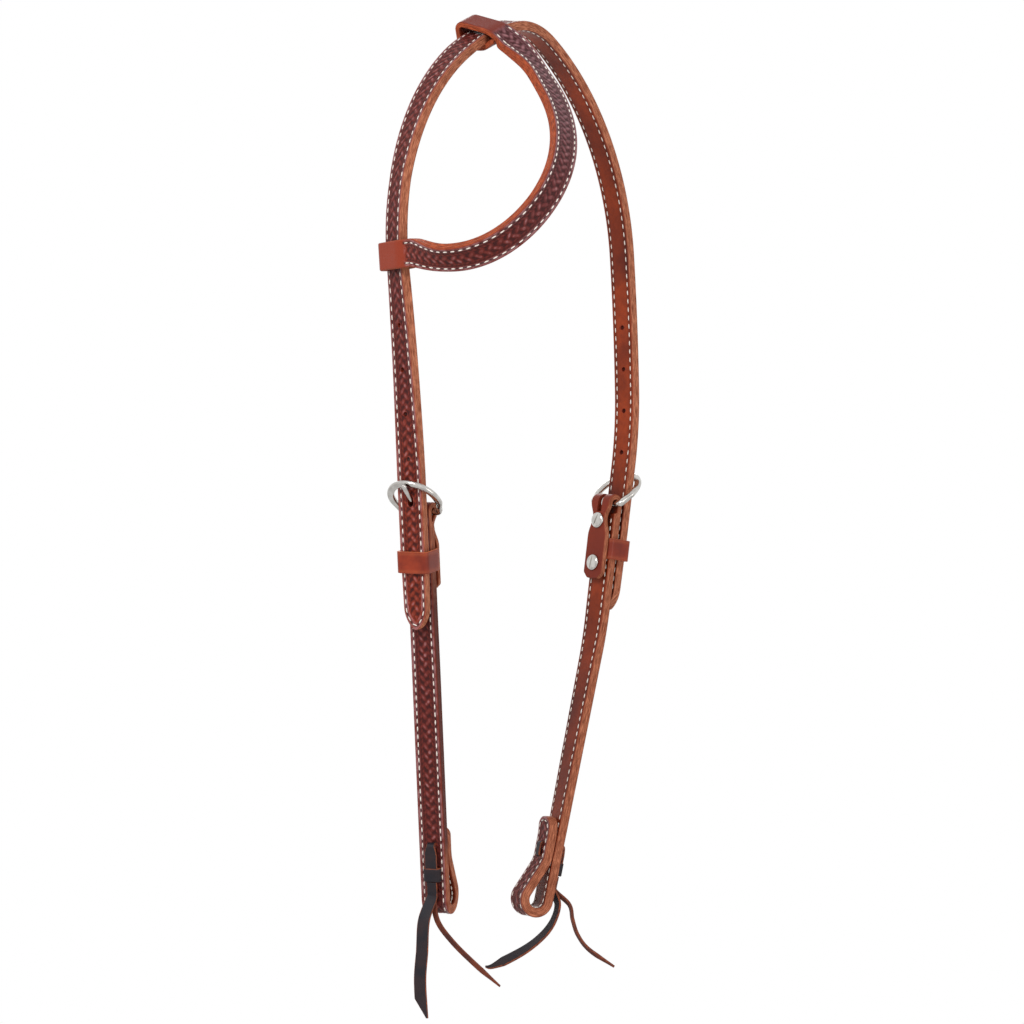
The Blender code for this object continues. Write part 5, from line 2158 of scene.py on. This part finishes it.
@dataclass
class Keeper:
    """A leather loop round the billet and the cheek, resting on the lower post."""

    half: CrownHalf
    corner_steps: int = 5
    side_clearance: float = 0.0005
    edge_round: float = 0.0004
    rim_in: float = 0.0006
    side_cells: int = 3

    def outline(self, width: float, height: float) -> list[tuple[float, float]]:
        """The loop's inner outline with round corners, about the origin.

        Args:
            width: the width inside.
            height: the height inside.

        Returns:
            The points in order.
        """
        points = []
        for sx, sy, start in ((1, 1, 0.0), (-1, 1, 90.0), (-1, -1, 180.0), (1, -1, 270.0)):
            for i in range(self.corner_steps + 1):
                angle = math.radians(start + 90.0 * i / self.corner_steps)
                x = sx * (width / 2 - KEEPER_CORNER) + KEEPER_CORNER * math.cos(angle)
                y = sy * (height / 2 - KEEPER_CORNER) + KEEPER_CORNER * math.sin(angle)
                points.append((x, y))
        return points

    def build(self, finishes: Finishes) -> Object:
        """Makes the keeper as a wrapped skin with rubbed edges.

        Args:
            finishes: every finish.

        Returns:
            The piece.
        """
        front = OUTER_FACE + TOUCH_GAP
        back = CHEEK_DEPTH + LINING_FACE - TOUCH_GAP
        width = STRAP_WIDTH + 2 * self.side_clearance
        ring = np.array(self.outline(width, front - back))
        shares = np.linspace(0.0, 1.0, self.side_cells + 1)[:-1, None]
        spans = zip(ring, np.roll(ring, -1, axis=0))
        ring = np.vstack([here + (there - here) * shares for here, there in spans])
        ahead, behind = np.roll(ring, -1, axis=0), np.roll(ring, 1, axis=0)
        tangent = (ahead - behind) / np.linalg.norm(ahead - behind, axis=1, keepdims=True)
        outward = np.stack((tangent[:, 1], -tangent[:, 0]), axis=-1)
        section, masks = self.section()
        level = LOWER_SCREW_BELOW_HEEL - POST_DIAMETER / 2 - TOUCH_GAP - KEEPER_WIDTH / 2
        place = self.half.heel.moved(outward=(front + back) / 2, onward=level)
        z_axis = np.cross(place.front, place.normal)
        rows, columns = len(ring) + 1, len(section)
        points = np.empty((rows, columns, 3))
        for i in range(rows):
            x, y = ring[i % len(ring)]
            nx, ny = outward[i % len(ring)]
            for j, (out, along) in enumerate(section):
                points[i, j] = place.point + (x + out * nx) * place.front
                points[i, j] += (y + out * ny) * place.normal
                points[i, j] += along * z_axis
        side = self.half.side.word
        name = side + "_keeper_loop"
        grid = WrappedGrid(name, points, looped=True)
        grid.mark(edge=masks)
        keeper = placed_object(name, grid.closed(), finishes.smooth)
        return seat(keeper, side + "_keeper_body", "smooth_leather", side + "_keeper")

    def section(self) -> tuple[list[tuple[float, float]], list[float]]:
        """The cut through the loop's leather with round corners, and its rim mask.

        Returns:
            The section's points and their masks.
        """
        half, r = KEEPER_WIDTH / 2, self.edge_round
        flat, deep = half - r, KEEPER_THICKNESS - r
        points, masks = [], []
        corners = ((deep, flat, 0.0), (r, flat, 90.0), (r, -flat, 180.0), (deep, -flat, 270.0))
        for out, along, start in corners:
            for angle in np.radians((start, start + 45.0, start + 90.0)):
                points.append((out + r * math.cos(angle), along + r * math.sin(angle)))
                masks.append(abs(math.sin(angle)) ** 2)
        levels = [share * flat for share in (-0.6, -0.2, 0.2, 0.6)]
        levels = [self.rim_in - flat, *levels, flat - self.rim_in]
        points += [(KEEPER_THICKNESS, along) for along in levels]
        # the face points nearest the rims take a quarter of the paler rim colour: the tan edge
        # carried onto the face as painted highlight lines
        return points, masks + [0.25, 0.0, 0.0, 0.0, 0.0, 0.25]


# Buckles


def swept(
    name: str,
    points: np.ndarray,
    axes: tuple[np.ndarray, np.ndarray],
    halves: tuple[np.ndarray, np.ndarray],
    looped: bool,
    power: float,
    count: int = 20,
) -> Mesh:
    """A bar whose section is a rounded box of changing size.

    Args:
        name: the mesh's name.
        points: the bar's centre line.
        axes: the directions of the section's two axes at each point.
        halves: its half sizes along them.
        looped: whether the bar closes on itself.
        power: 2 for a round section, more for a squarer one.
        count: the points round the section.

    Returns:
        The closed mesh.
    """
    turns = np.linspace(0.0, 2 * math.pi, count, endpoint=False)
    ring = 0.0
    for wave, axis, half in zip((np.cos(turns), np.sin(turns)), axes, halves):
        reach = np.sign(wave) * np.abs(wave) ** (2.0 / power)
        ring = ring + half[:, None, None] * reach[None, :, None] * axis[:, None, :]
    laid = points[:, None, :] + ring
    if looped:
        laid = np.concatenate((laid, laid[:1]))
    return WrappedGrid(name, laid, looped).closed()


@dataclass
class Buckle:
    """A wide flat-faced bow on a round heel bar, with a hooked tongue."""

    half: CrownHalf
    heel_half: float = 0.0124
    corner: float = 0.0024
    face_half: float = 0.0021
    face_depth: float = 0.0013
    hook_turn: float = 255.0
    overhang: float = 0.0024
    bow_turn: float = 98.0
    flat_start: float = 0.003
    flat_ease: float = 0.006
    face_power: float = 3.6
    tongue_power: float = 2.3
    cap_rows: float = 3.0
    least_cap: float = 0.04
    tip_start: float = 0.55
    tip_spread: float = 0.3
    tip_thin: float = 0.28

    def frame(self, finishes: Finishes) -> Object:
        """Makes the frame: a flat band round the bow that runs into a round heel bar.

        Args:
            finishes: every finish.

        Returns:
            The piece.
        """
        centre = BUCKLE_LENGTH - BOW_RADIUS
        angles = np.radians(np.linspace(90.0 - self.bow_turn, 90.0 + self.bow_turn, 90))
        bow = np.stack((BOW_RADIUS * np.cos(angles), centre + BOW_RADIUS * np.sin(angles)), axis=-1)
        turns = np.radians(np.linspace(0.0, 90.0, 9))
        inner = self.heel_half - self.corner
        foot = (-inner - self.corner * np.cos(turns), self.corner * (1 - np.sin(turns)))
        foot = np.stack(foot, axis=-1)
        shares = np.linspace(0.0, 1.0, 14)[1:-1, None]
        leg = bow[-1] + (foot[0] - bow[-1]) * shares
        heel = np.stack((np.linspace(-inner, inner, 24)[1:-1], np.zeros(22)), axis=-1)
        mirror = np.array((-1.0, 1.0))
        line = np.vstack((bow, leg, foot, heel, foot[::-1] * mirror, leg[::-1] * mirror))
        flat = np.clip((line[:, 1] - self.flat_start) / self.flat_ease, 0.0, 1.0)
        flat = flat * flat * (3 - 2 * flat)
        tangent = np.roll(line, -1, axis=0) - np.roll(line, 1, axis=0)
        tangent /= np.linalg.norm(tangent, axis=1, keepdims=True)
        rise, drop = self.half.frame_directions()
        front = self.half.heel.front
        sides = tangent[:, 1:] * front - tangent[:, :1] * rise
        ups = np.broadcast_to(drop, sides.shape)
        points = self.half.bar + line[:, :1] * front + line[:, 1:] * rise
        start = WIRE_DIAMETER / 2
        halves = (start + (self.face_half - start) * flat, start + (self.face_depth - start) * flat)
        name = self.half.side.word + "_buckle_band"
        mesh = swept(name, points, (sides, ups), halves, True, self.face_power)
        return self.dressed(placed_object(name, mesh, finishes.nickel), "_buckle_frame", "_buckle")

    def tongue(self, finishes: Finishes) -> Object:
        """Makes the tongue: hooked round the heel bar, flattened where it rests on the bow.

        Args:
            finishes: every finish.

        Returns:
            The piece.
        """
        turns = np.radians(90.0 + self.hook_turn * np.linspace(1.0, 0.0, 40))
        hook = TONGUE_OFFSET * np.stack((np.cos(turns), np.sin(turns)), axis=-1)
        onward = np.linspace(0.0, BUCKLE_LENGTH + self.overhang, 50)[1:]
        shank = np.stack((onward, np.full_like(onward, TONGUE_OFFSET)), axis=-1)
        line = np.vstack((hook, shank))
        rise, drop = self.half.frame_directions()
        front = self.half.heel.front
        points = self.half.bar + line[:, :1] * rise + line[:, 1:] * drop
        tangent = np.gradient(line, axis=0)
        tangent /= np.linalg.norm(tangent, axis=1, keepdims=True)
        ups = -tangent[:, 1:] * rise + tangent[:, :1] * drop
        sides = np.broadcast_to(front, ups.shape)
        radius = TONGUE_DIAMETER / 2
        left = np.minimum(np.arange(len(line)), np.arange(len(line))[::-1])
        left = 1.0 - np.clip(left / self.cap_rows, 0.0, 1.0)
        cap = np.sqrt(np.clip(1.0 - left**2, self.least_cap, 1.0))
        rest = 1.0 - self.tip_start
        past = line[:, 0] - BUCKLE_LENGTH * self.tip_start
        tip = np.clip(past / (BUCKLE_LENGTH * rest), 0.0, 1.0)
        wide, thin = 1.0 + self.tip_spread * tip, 1.0 - self.tip_thin * tip
        halves = (radius * cap * wide, radius * cap * thin)
        name = self.half.side.word + "_tongue_bar"
        mesh = swept(name, points, (sides, ups), halves, False, self.tongue_power)
        return self.dressed(placed_object(name, mesh, finishes.nickel), "_buckle_tongue", "_tongue")

    def dressed(self, piece: Object, node: str, body: str) -> Object:
        """Sets a piece on its body in place of its plain solid."""
        side = self.half.side.word
        return seat(piece, side + body, "bright_nickel", side + node)


@dataclass
class ScrewHead:
    """The slotted, domed screws at the back, and the plain posts that stay as they are."""

    half: CrownHalf
    cap: float = 0.00475
    height: float = 0.0019
    rim: float = 0.0005
    shank: float = 0.0017
    end_wall: float = 0.0012
    slot_width: float = 0.0011
    slot_depth: float = 0.0006
    sides: int = 40
    dome_rows: int = 10
    crease: float = 40.0
    driven: tuple = (
        ("upper", 68.0, UPPER_SCREW_BELOW_HEEL),
        ("lower", 82.0, LOWER_SCREW_BELOW_HEEL),
    )

    def build(self, finishes: Finishes) -> list[Object]:
        """Makes both screws and dresses both posts.

        Args:
            finishes: every finish.

        Returns:
            The two screws.
        """
        length = CHEEK_DEPTH + OUTER_FACE + TOUCH_GAP - (CHAPE_BACK - TOUCH_GAP)
        foot = self.end_wall + TOUCH_GAP - length
        made = []
        for word, turn, level in self.driven:
            place = self.half.heel.moved(outward=CHAPE_BACK - TOUCH_GAP, onward=level)
            matrix = basis(place.point, place.front, -np.cross(place.normal, place.front))
            node = self.half.side.word + "_" + word
            name = node + "_screw_head"
            piece = placed_object(name, self.turned(name, matrix, foot), finishes.nickel)
            matrix = matrix @ Matrix.Rotation(math.radians(turn), 4, "Z")
            matrix = matrix @ Matrix.Translation((0.0, 0.0, self.height))
            slot = Prism(matrix, 3 * self.cap, self.slot_width, 2 * self.slot_depth)
            cut_out(piece, [slot], self.crease)
            made.append(seat(piece, "headstall", "bright_nickel", node + "_screw"))
            for slot in bpy.data.objects[node + "_post"].material_slots:
                slot.material = finishes.nickel
        return made

    def turned(self, name: str, matrix: Matrix, foot: float) -> Mesh:
        """Spins the screw's outline into a closed mesh.

        Args:
            name: the mesh's name.
            matrix: its placement.
            foot: the level of the shank's end.

        Returns:
            The mesh.
        """
        outline = [
            (self.cap * math.sin(angle), self.rim + (self.height - self.rim) * math.cos(angle))
            for angle in np.radians(np.linspace(0, 90, self.dome_rows))
        ]
        outline += [(self.cap, 0.0), (self.shank, 0.0), (self.shank, foot), (0.0, foot)]
        bm = bmesh.new()
        verts = [bm.verts.new((across, 0.0, level)) for across, level in outline]
        edges = [bm.edges.new(pair) for pair in zip(verts, verts[1:])]
        middle, axis = (0.0, 0.0, 0.0), (0.0, 0.0, 1.0)
        bmesh.ops.spin(
            bm,
            geom=verts + edges,
            cent=middle,
            axis=axis,
            angle=2 * math.pi,
            steps=self.sides,
            use_merge=True,
        )
        bmesh.ops.remove_doubles(bm, verts=bm.verts[:], dist=MERGE_DISTANCE)
        bmesh.ops.recalc_face_normals(bm, faces=bm.faces[:])
        bmesh.ops.transform(bm, matrix=matrix, verts=bm.verts[:])
        return mesh_from(bm, name)


# Ties


@dataclass
class LaceStrip:
    """A flat strip of lace leather along its stations, with round tan edges."""

    name: str
    course: Course
    thickness: float
    widths: Profile
    step: float = 0.0005
    edge_round: float = 0.00045
    slant: float = 0.0
    cells: int = 8
    turns: tuple = (120.0, 150.0, 180.0, 210.0, 240.0)

    def build(self) -> tuple[Mesh, np.ndarray]:
        """Makes the strip.

        Returns:
            The closed mesh, and the line through the middle of its rings.
        """
        runs = np.linspace(0.0, self.course.length, max(12, int(self.course.length / self.step)))
        places = self.course.read(runs)
        half = self.widths.at(runs) / 2
        r = np.minimum(self.edge_round, 0.45 * half)
        deep = self.thickness / 2
        ring = []
        for sense, start in ((1.0, 0.0), (-1.0, -180.0)):
            for share in np.linspace(1.0, -1.0, self.cells + 1):
                ring.append((sense * share * (half - r), np.full_like(half, sense * deep), 0.0))
            for angle in np.radians(np.array(self.turns) + start):
                across = r * np.cos(angle) - sense * (half - r)
                ring.append((across, np.full_like(half, deep * np.sin(angle)), 1.0))
        across, out, masks = zip(*ring)
        across, out = np.stack(across, axis=1), np.stack(out, axis=1)
        lower = (runs > self.course.length / 2)[:, None]
        across = across + self.slant * (half.max() - half)[:, None] * lower
        points = places.laid(across, out)
        grid = WrappedGrid(self.name, points)
        grid.mark(edge=masks)
        grid.unroll(runs, way_round(across, out))
        return grid.closed(), points.mean(axis=1)


@dataclass
class Tail:
    """A free end of the tie: where it hangs, how wide it is and how long."""

    word: str
    places: tuple
    widths: tuple
    thickness: float
    slant: float = 0.0

    def stations(self, start: Station, steps: int = 120) -> list[Station]:
        """Stations of the tail, straight at first and then curved through its places.

        Args:
            start: where the tail leaves the turn.
            steps: the number of steps.

        Returns:
            The stations in order.
        """
        sideways = np.array((math.cos(TAIL_PLANE_TURN), math.sin(TAIL_PLANE_TURN), 0.0))
        outwards = np.array((math.sin(TAIL_PLANE_TURN), -math.cos(TAIL_PLANE_TURN), 0.0))
        down = np.array((0.0, 0.0, -1.0))
        points = [start.point, start.at(onward=TAIL_LEAD)]
        points += [start.point + a * sideways + b * outwards + c * down for a, b, c in self.places]
        padded = points + [2 * points[-1] - points[-2]]
        spans = len(points) - 2
        lead = (points[1] - points[0]) / np.linalg.norm(points[1] - points[0])
        facing = start.normal
        stations = [Station(points[0], lead, facing, np.cross(lead, facing))]
        for i in range(steps + 1):
            place = i / steps * spans
            k = min(int(place), spans - 1)
            t = place - k
            a, b, c, d = padded[k : k + 4]
            square, cube = 2 * a - 5 * b + 4 * c - d, 3 * b - a - 3 * c + d
            point = 0.5 * (2 * b + (c - a) * t + square * t**2 + cube * t**3)
            along = 0.5 * ((c - a) + 2 * square * t + 3 * cube * t**2)
            stations.append(Station.facing(point, along / np.linalg.norm(along), facing))
        return stations

    def build(self, side: Side, start: Station, material: Material) -> Object:
        """Args:
            side: its side.
            start: where it leaves the turn.
            material: its finish.

        Returns:
            The piece.
        """
        course = Course(self.stations(start))
        lead = TAIL_LEAD / course.length
        marks = [(0.0, self.widths[0][1])]
        for share, width in self.widths:
            marks.append(((lead + (1 - lead) * share) * course.length, width))
        name = side.word + "_lace_" + self.word
        strip = LaceStrip(name, course, self.thickness, Profile(marks), slant=self.slant)
        mesh, line = strip.build()
        piece = placed_object(name, mesh, material)
        seat(piece, "headstall", "lace_leather", side.word + "_tie_" + self.word)
        width = max(w for _, w in self.widths)
        return piece


@dataclass
class LaceTie:
    """A thong through both legs above the bit loop, held under one turn, with two tails."""

    half: CrownHalf
    collar_drop: float
    tab_width: float = 0.0074
    blade_over: bool = True
    tab_narrow: float = 0.86
    tab_ends: tuple = (-0.0045, -0.0012, 0.0006)
    bend_step: float = 0.0002
    turn_rows: int = 26
    turn_foot: float = 0.0004
    turn_length: float = 0.02

    def levels(self) -> tuple[float, float]:
        """How far the thong's lower and upper strands stand out from the seam."""
        under = OUTER_FACE + TOUCH_GAP + THONG_THICKNESS / 2
        return under, under + THONG_THICKNESS + TOUCH_GAP

    @property
    def drop(self) -> float:
        """How far the turn starts below the lower slot."""
        return self.collar_drop - LOWER_SLOT_ABOVE_LOOP

    def thong(self, start: Station) -> list[Station]:
        """The thong's stations from under the turn, through both slots and back.

        Args:
            start: where the loop's legs part.

        Returns:
            The stations in order.
        """
        under, over = self.levels()
        back = -LEG_SPACING - OUTER_FACE - TOUCH_GAP - THONG_THICKNESS / 2
        hidden = self.drop + COLLAR_LENGTH / 2
        quarter = (THONG_BEND * math.pi / 2, 90.0, self.bend_step)
        place = start.moved(outward=over, onward=hidden)
        first = replace(place, along=-place.along)
        path = bend_through(
            first,
            (hidden + UPPER_SLOT_ABOVE_LOOP - THONG_BEND,),
            quarter,
            (over - back - 2 * THONG_BEND,),
            quarter,
            (UPPER_SLOT_ABOVE_LOOP - LOWER_SLOT_ABOVE_LOOP - 2 * THONG_BEND,),
            quarter,
            (under - back - 2 * THONG_BEND,),
            (quarter[0], -90.0, self.bend_step),
            (hidden + LOWER_SLOT_ABOVE_LOOP - THONG_BEND,),
        )
        return [first] + path

    def ends(self, start: Station) -> tuple[Station, Station]:
        """Where the blade and the narrow tail leave the turn.

        Args:
            start: where the loop's legs part.

        Returns:
            Both places.
        """
        under, over = self.levels()
        levels = (over, under) if self.blade_over else (under, over)
        onward = self.drop + COLLAR_LENGTH + TOUCH_GAP
        blade, tail = (start.moved(outward=level, onward=onward) for level in levels)
        return blade, tail

    def build(self, start: Station, finishes: Finishes) -> list[Object]:
        """Makes the thong and its turn above the place where the loop's legs part.

        Args:
            start: where the loop's legs part.
            finishes: every finish.

        Returns:
            The pieces.
        """
        side = self.half.side.word
        tab = self.drop + COLLAR_LENGTH / 2 + UPPER_SLOT_ABOVE_LOOP - THONG_BEND
        sizes = (self.tab_width, self.tab_width * self.tab_narrow, THONG_WIDTH)
        widths = Profile([(tab + past, width) for past, width in zip(self.tab_ends, sizes)])
        course = Course(self.thong(start))
        mesh, _ = LaceStrip(side + "_thong", course, THONG_THICKNESS, widths).build()
        thong = placed_object(side + "_thong", mesh, finishes.lace)
        turn = placed_object(side + "_thong_turn", self.turn(start), finishes.lace)
        seat(thong, "headstall", "lace_leather", side + "_tie")
        return [thong, seat(turn, "headstall", "lace_leather")]

    def turn(self, start: Station) -> Mesh:
        """The turn across both strands: a crowned band whose ends tuck down to the strap.

        Args:
            start: where the loop's legs part.

        Returns:
            The mesh.
        """
        top = self.levels()[1] + THONG_THICKNESS / 2 + COLLAR_WALL
        foot = OUTER_FACE + TOUCH_GAP
        section, masks = self.turn_section()
        points = np.empty((self.turn_rows, len(section), 3))
        for i, share in enumerate(np.linspace(-1.0, 1.0, self.turn_rows)):
            bulge = (1.0 - abs(share) ** 5) ** 0.5
            height = (foot + self.turn_foot) + (top - foot - self.turn_foot) * bulge
            for j, (up, along) in enumerate(section):
                out, onward = foot + (height - foot) * up, self.drop + COLLAR_LENGTH * along
                points[i, j] = start.at(out, share * COLLAR_WIDTH / 2, onward)
        grid = WrappedGrid(self.half.side.word + "_thong_turn", points)
        grid.mark(edge=masks)
        around = np.linspace(0.0, self.turn_length, len(section) + 1)
        along = np.linspace(0.0, COLLAR_WIDTH, self.turn_rows)
        grid.unroll(along, np.broadcast_to(around, (self.turn_rows, len(around))))
        return grid.closed()

    @staticmethod
    def turn_section() -> tuple[list[tuple[float, float]], list[float]]:
        """The turn's cut: shares of its height and of its length, with its rim mask.

        Returns:
            The section's points and their masks.
        """
        top = [(1.0, along) for along in np.linspace(0.08, 0.92, 8)]
        lower = [(0.95, 0.97), (0.85, 1.0), (0.4, 1.0), (0.0, 0.98)]
        upper = [(0.0, 0.02), (0.4, 0.0), (0.85, 0.0), (0.95, 0.03)]
        masks = [0.0] * len(top) + [0.0, 0.3, 1.0, 1.0] + [1.0, 1.0, 1.0, 0.6]
        return top + lower + upper, masks


# Studio


@dataclass(frozen=True)
class Studio:
    """The camera, soft lamps, white surroundings and pale floor."""

    lens: float = 155.0
    sensor: float = 36.0
    camera_place: tuple = (-2.0729, -1.5867, -0.2851)
    camera_turn: float = -52.5
    surround: float = 0.5
    floor_level: float = -0.95
    floor_size: float = 3.0
    floor_grey: float = 0.86
    floor_roughness: float = 0.8
    lamps: tuple = (
        ("key", (-1.7, -0.3, 0.9), (0.0, 0.0, -0.28), 0.7, 26.0),
        ("fill", (-0.4, -2.2, -0.1), (0.0, 0.0, -0.3), 1.2, 9.0),
        ("rear", (1.5, 1.4, 0.7), (0.0, 0.0, -0.2), 0.9, 8.0),
    )

    def camera(self) -> None:
        """Sets the camera at the photograph's angle."""
        data = bpy.data.cameras.new("camera")
        data.lens = self.lens
        data.sensor_width = self.sensor
        camera = bpy.data.objects.new("camera", data)
        camera.location = self.camera_place
        camera.rotation_euler = (math.radians(90.0), 0.0, math.radians(self.camera_turn))
        bpy.context.scene.collection.objects.link(camera)
        bpy.context.scene.camera = camera

    def world(self) -> None:
        """White to the camera and in reflections, and a plain soft light elsewhere."""
        world = bpy.data.worlds.new("surround")
        bpy.context.scene.world = world
        world.use_nodes = True
        board = Board(world.node_tree)
        shade = world.node_tree.nodes["Background"]
        rays = board.node("ShaderNodeLightPath").outputs
        seen = board.math("MAXIMUM", rays["Is Camera Ray"], rays["Is Transmission Ray"])
        seen = board.math("MAXIMUM", seen, rays["Is Glossy Ray"])
        strength = board.stretched(seen, 0.0, 1.0, self.surround, 1.0)
        board.fill(shade, {"Color": (1.0, 1.0, 1.0, 1.0), "Strength": strength})

    def lamp(self, name: str, place: tuple, target: tuple, size: float, power: float) -> None:
        """A square soft lamp turned towards a point.

        Args:
            name: its name.
            place: where it stands.
            target: the point.
            size: its side.
            power: its power in watts.
        """
        data = bpy.data.lights.new(name, "AREA")
        data.size = size
        data.energy = power
        lamp = bpy.data.objects.new(name, data)
        lamp.location = place
        lamp.rotation_euler = (Vector(target) - Vector(place)).to_track_quat("-Z", "Y").to_euler()
        bpy.context.scene.collection.objects.link(lamp)

    def floor(self) -> None:
        """A pale floor below the headstall, outside the picture."""
        bm = bmesh.new()
        matrix = Matrix.Translation((0.0, 0.0, self.floor_level))
        half = self.floor_size / 2
        bmesh.ops.create_grid(bm, x_segments=1, y_segments=1, size=half, matrix=matrix)
        material, board, shader = new_finish("pale_floor")
        colour = (self.floor_grey, self.floor_grey, self.floor_grey, 1.0)
        board.fill(shader, {"Base Color": colour, "Roughness": self.floor_roughness})
        placed_object("floor", mesh_from(bm, "floor"), material)

    def build(self) -> None:
        """Sets up the whole studio."""
        bpy.context.scene.view_settings.view_transform = "Standard"
        self.camera()
        self.world()
        for lamp in self.lamps:
            self.lamp(*lamp)
        self.floor()


# The headstall


TAIL_ROUTES = {
    (Side.NEAR, "blade"): (
        (-0.0045, 0.001, 0.022),
        (-0.0056, 0.001, 0.0395),
        (-0.0068, 0.0, 0.057),
        (-0.0056, 0.0, 0.079),
    ),
    (Side.NEAR, "tail"): (
        (0.0025, -0.001, 0.0225),
        (0.011, -0.003, 0.035),
        (0.0246, -0.005, 0.0488),
        (0.0391, -0.006, 0.0616),
    ),
    (Side.OFF, "blade"): (
        (0.002, 0.002, 0.0165),
        (-0.0006, 0.004, 0.0265),
        (-0.0072, 0.004, 0.0356),
        (-0.0187, 0.004, 0.0446),
        (-0.0362, 0.003, 0.0537),
        (-0.0416, 0.003, 0.0545),
    ),
    (Side.OFF, "tail"): (
        (0.0074, 0.001, 0.017),
        (0.0094, 0.001, 0.026),
        (0.0125, 0.001, 0.0352),
        (0.0194, 0.0, 0.0442),
        (0.0345, -0.001, 0.0545),
    ),
}
BLADE_WIDTHS = ((0.0, 0.0064), (0.25, 0.0074), (0.84, 0.0076), (1.0, 0.0013))
BLADE_SLANTS = {Side.NEAR: -1.0, Side.OFF: 0.0}
TAIL_WIDTHS = ((0.0, 0.0034), (0.8, 0.0032), (1.0, 0.0009))
TAIL_THICKNESS = 0.0016


def dress_side(
    half: CrownHalf, cheek: CheekStrap, tie: LaceTie, finishes: Finishes
) -> list[Object]:
    """Builds everything that hangs from one end of the crown.

    Args:
        half: that end.
        cheek: its cheek strap.
        tie: its tie.
        finishes: every finish.

    Returns:
        The pieces.
    """
    side = half.side
    start = cheek.front()[-1]
    pieces = cheek.build(finishes) + tie.build(start, finishes)
    blade_start, tail_start = tie.ends(start)
    places = TAIL_ROUTES[side, "blade"]
    blade = Tail("blade", places, BLADE_WIDTHS, THONG_THICKNESS, BLADE_SLANTS[side])
    tail = Tail("tail", TAIL_ROUTES[side, "tail"], TAIL_WIDTHS, TAIL_THICKNESS)
    pieces.append(blade.build(side, blade_start, finishes.lace))
    pieces.append(tail.build(side, tail_start, finishes.tan_lace))
    buckle = Buckle(half)
    pieces += [Keeper(half).build(finishes), buckle.frame(finishes), buckle.tongue(finishes)]
    return pieces + ScrewHead(half).build(finishes)


def main() -> None:
    """Builds and dresses the headstall piece by piece."""
    logging.basicConfig(level=logging.INFO, format="%(name)s: %(message)s")
    Studio().build()
    finishes = Finishes()
    near, off = crown_half(Side.NEAR), crown_half(Side.OFF)
    pieces = CrownStrap(near, off).build(finishes) + EarPiece().build(finishes)
    near_cheek = CheekStrap(
        near, length=0.113, bend_turn=3.0, twist=8.0, flap=0.0084, lift=0.001, burnish=0.85
    )
    off_cheek = CheekStrap(
        off, length=0.126, bend_turn=4.0, twist=17.0, flap=0.009, lift=0.008
    )
    near_tie = LaceTie(near, collar_drop=0.0062)
    off_tie = LaceTie(off, collar_drop=0.0022, blade_over=False)
    pieces += dress_side(near, near_cheek, near_tie, finishes)
    pieces += dress_side(off, off_cheek, off_tie, finishes)
    for piece in pieces:
        LOG.info("%s: %d faces", piece.name, len(piece.data.polygons))


if __name__ == "__main__":
    main()
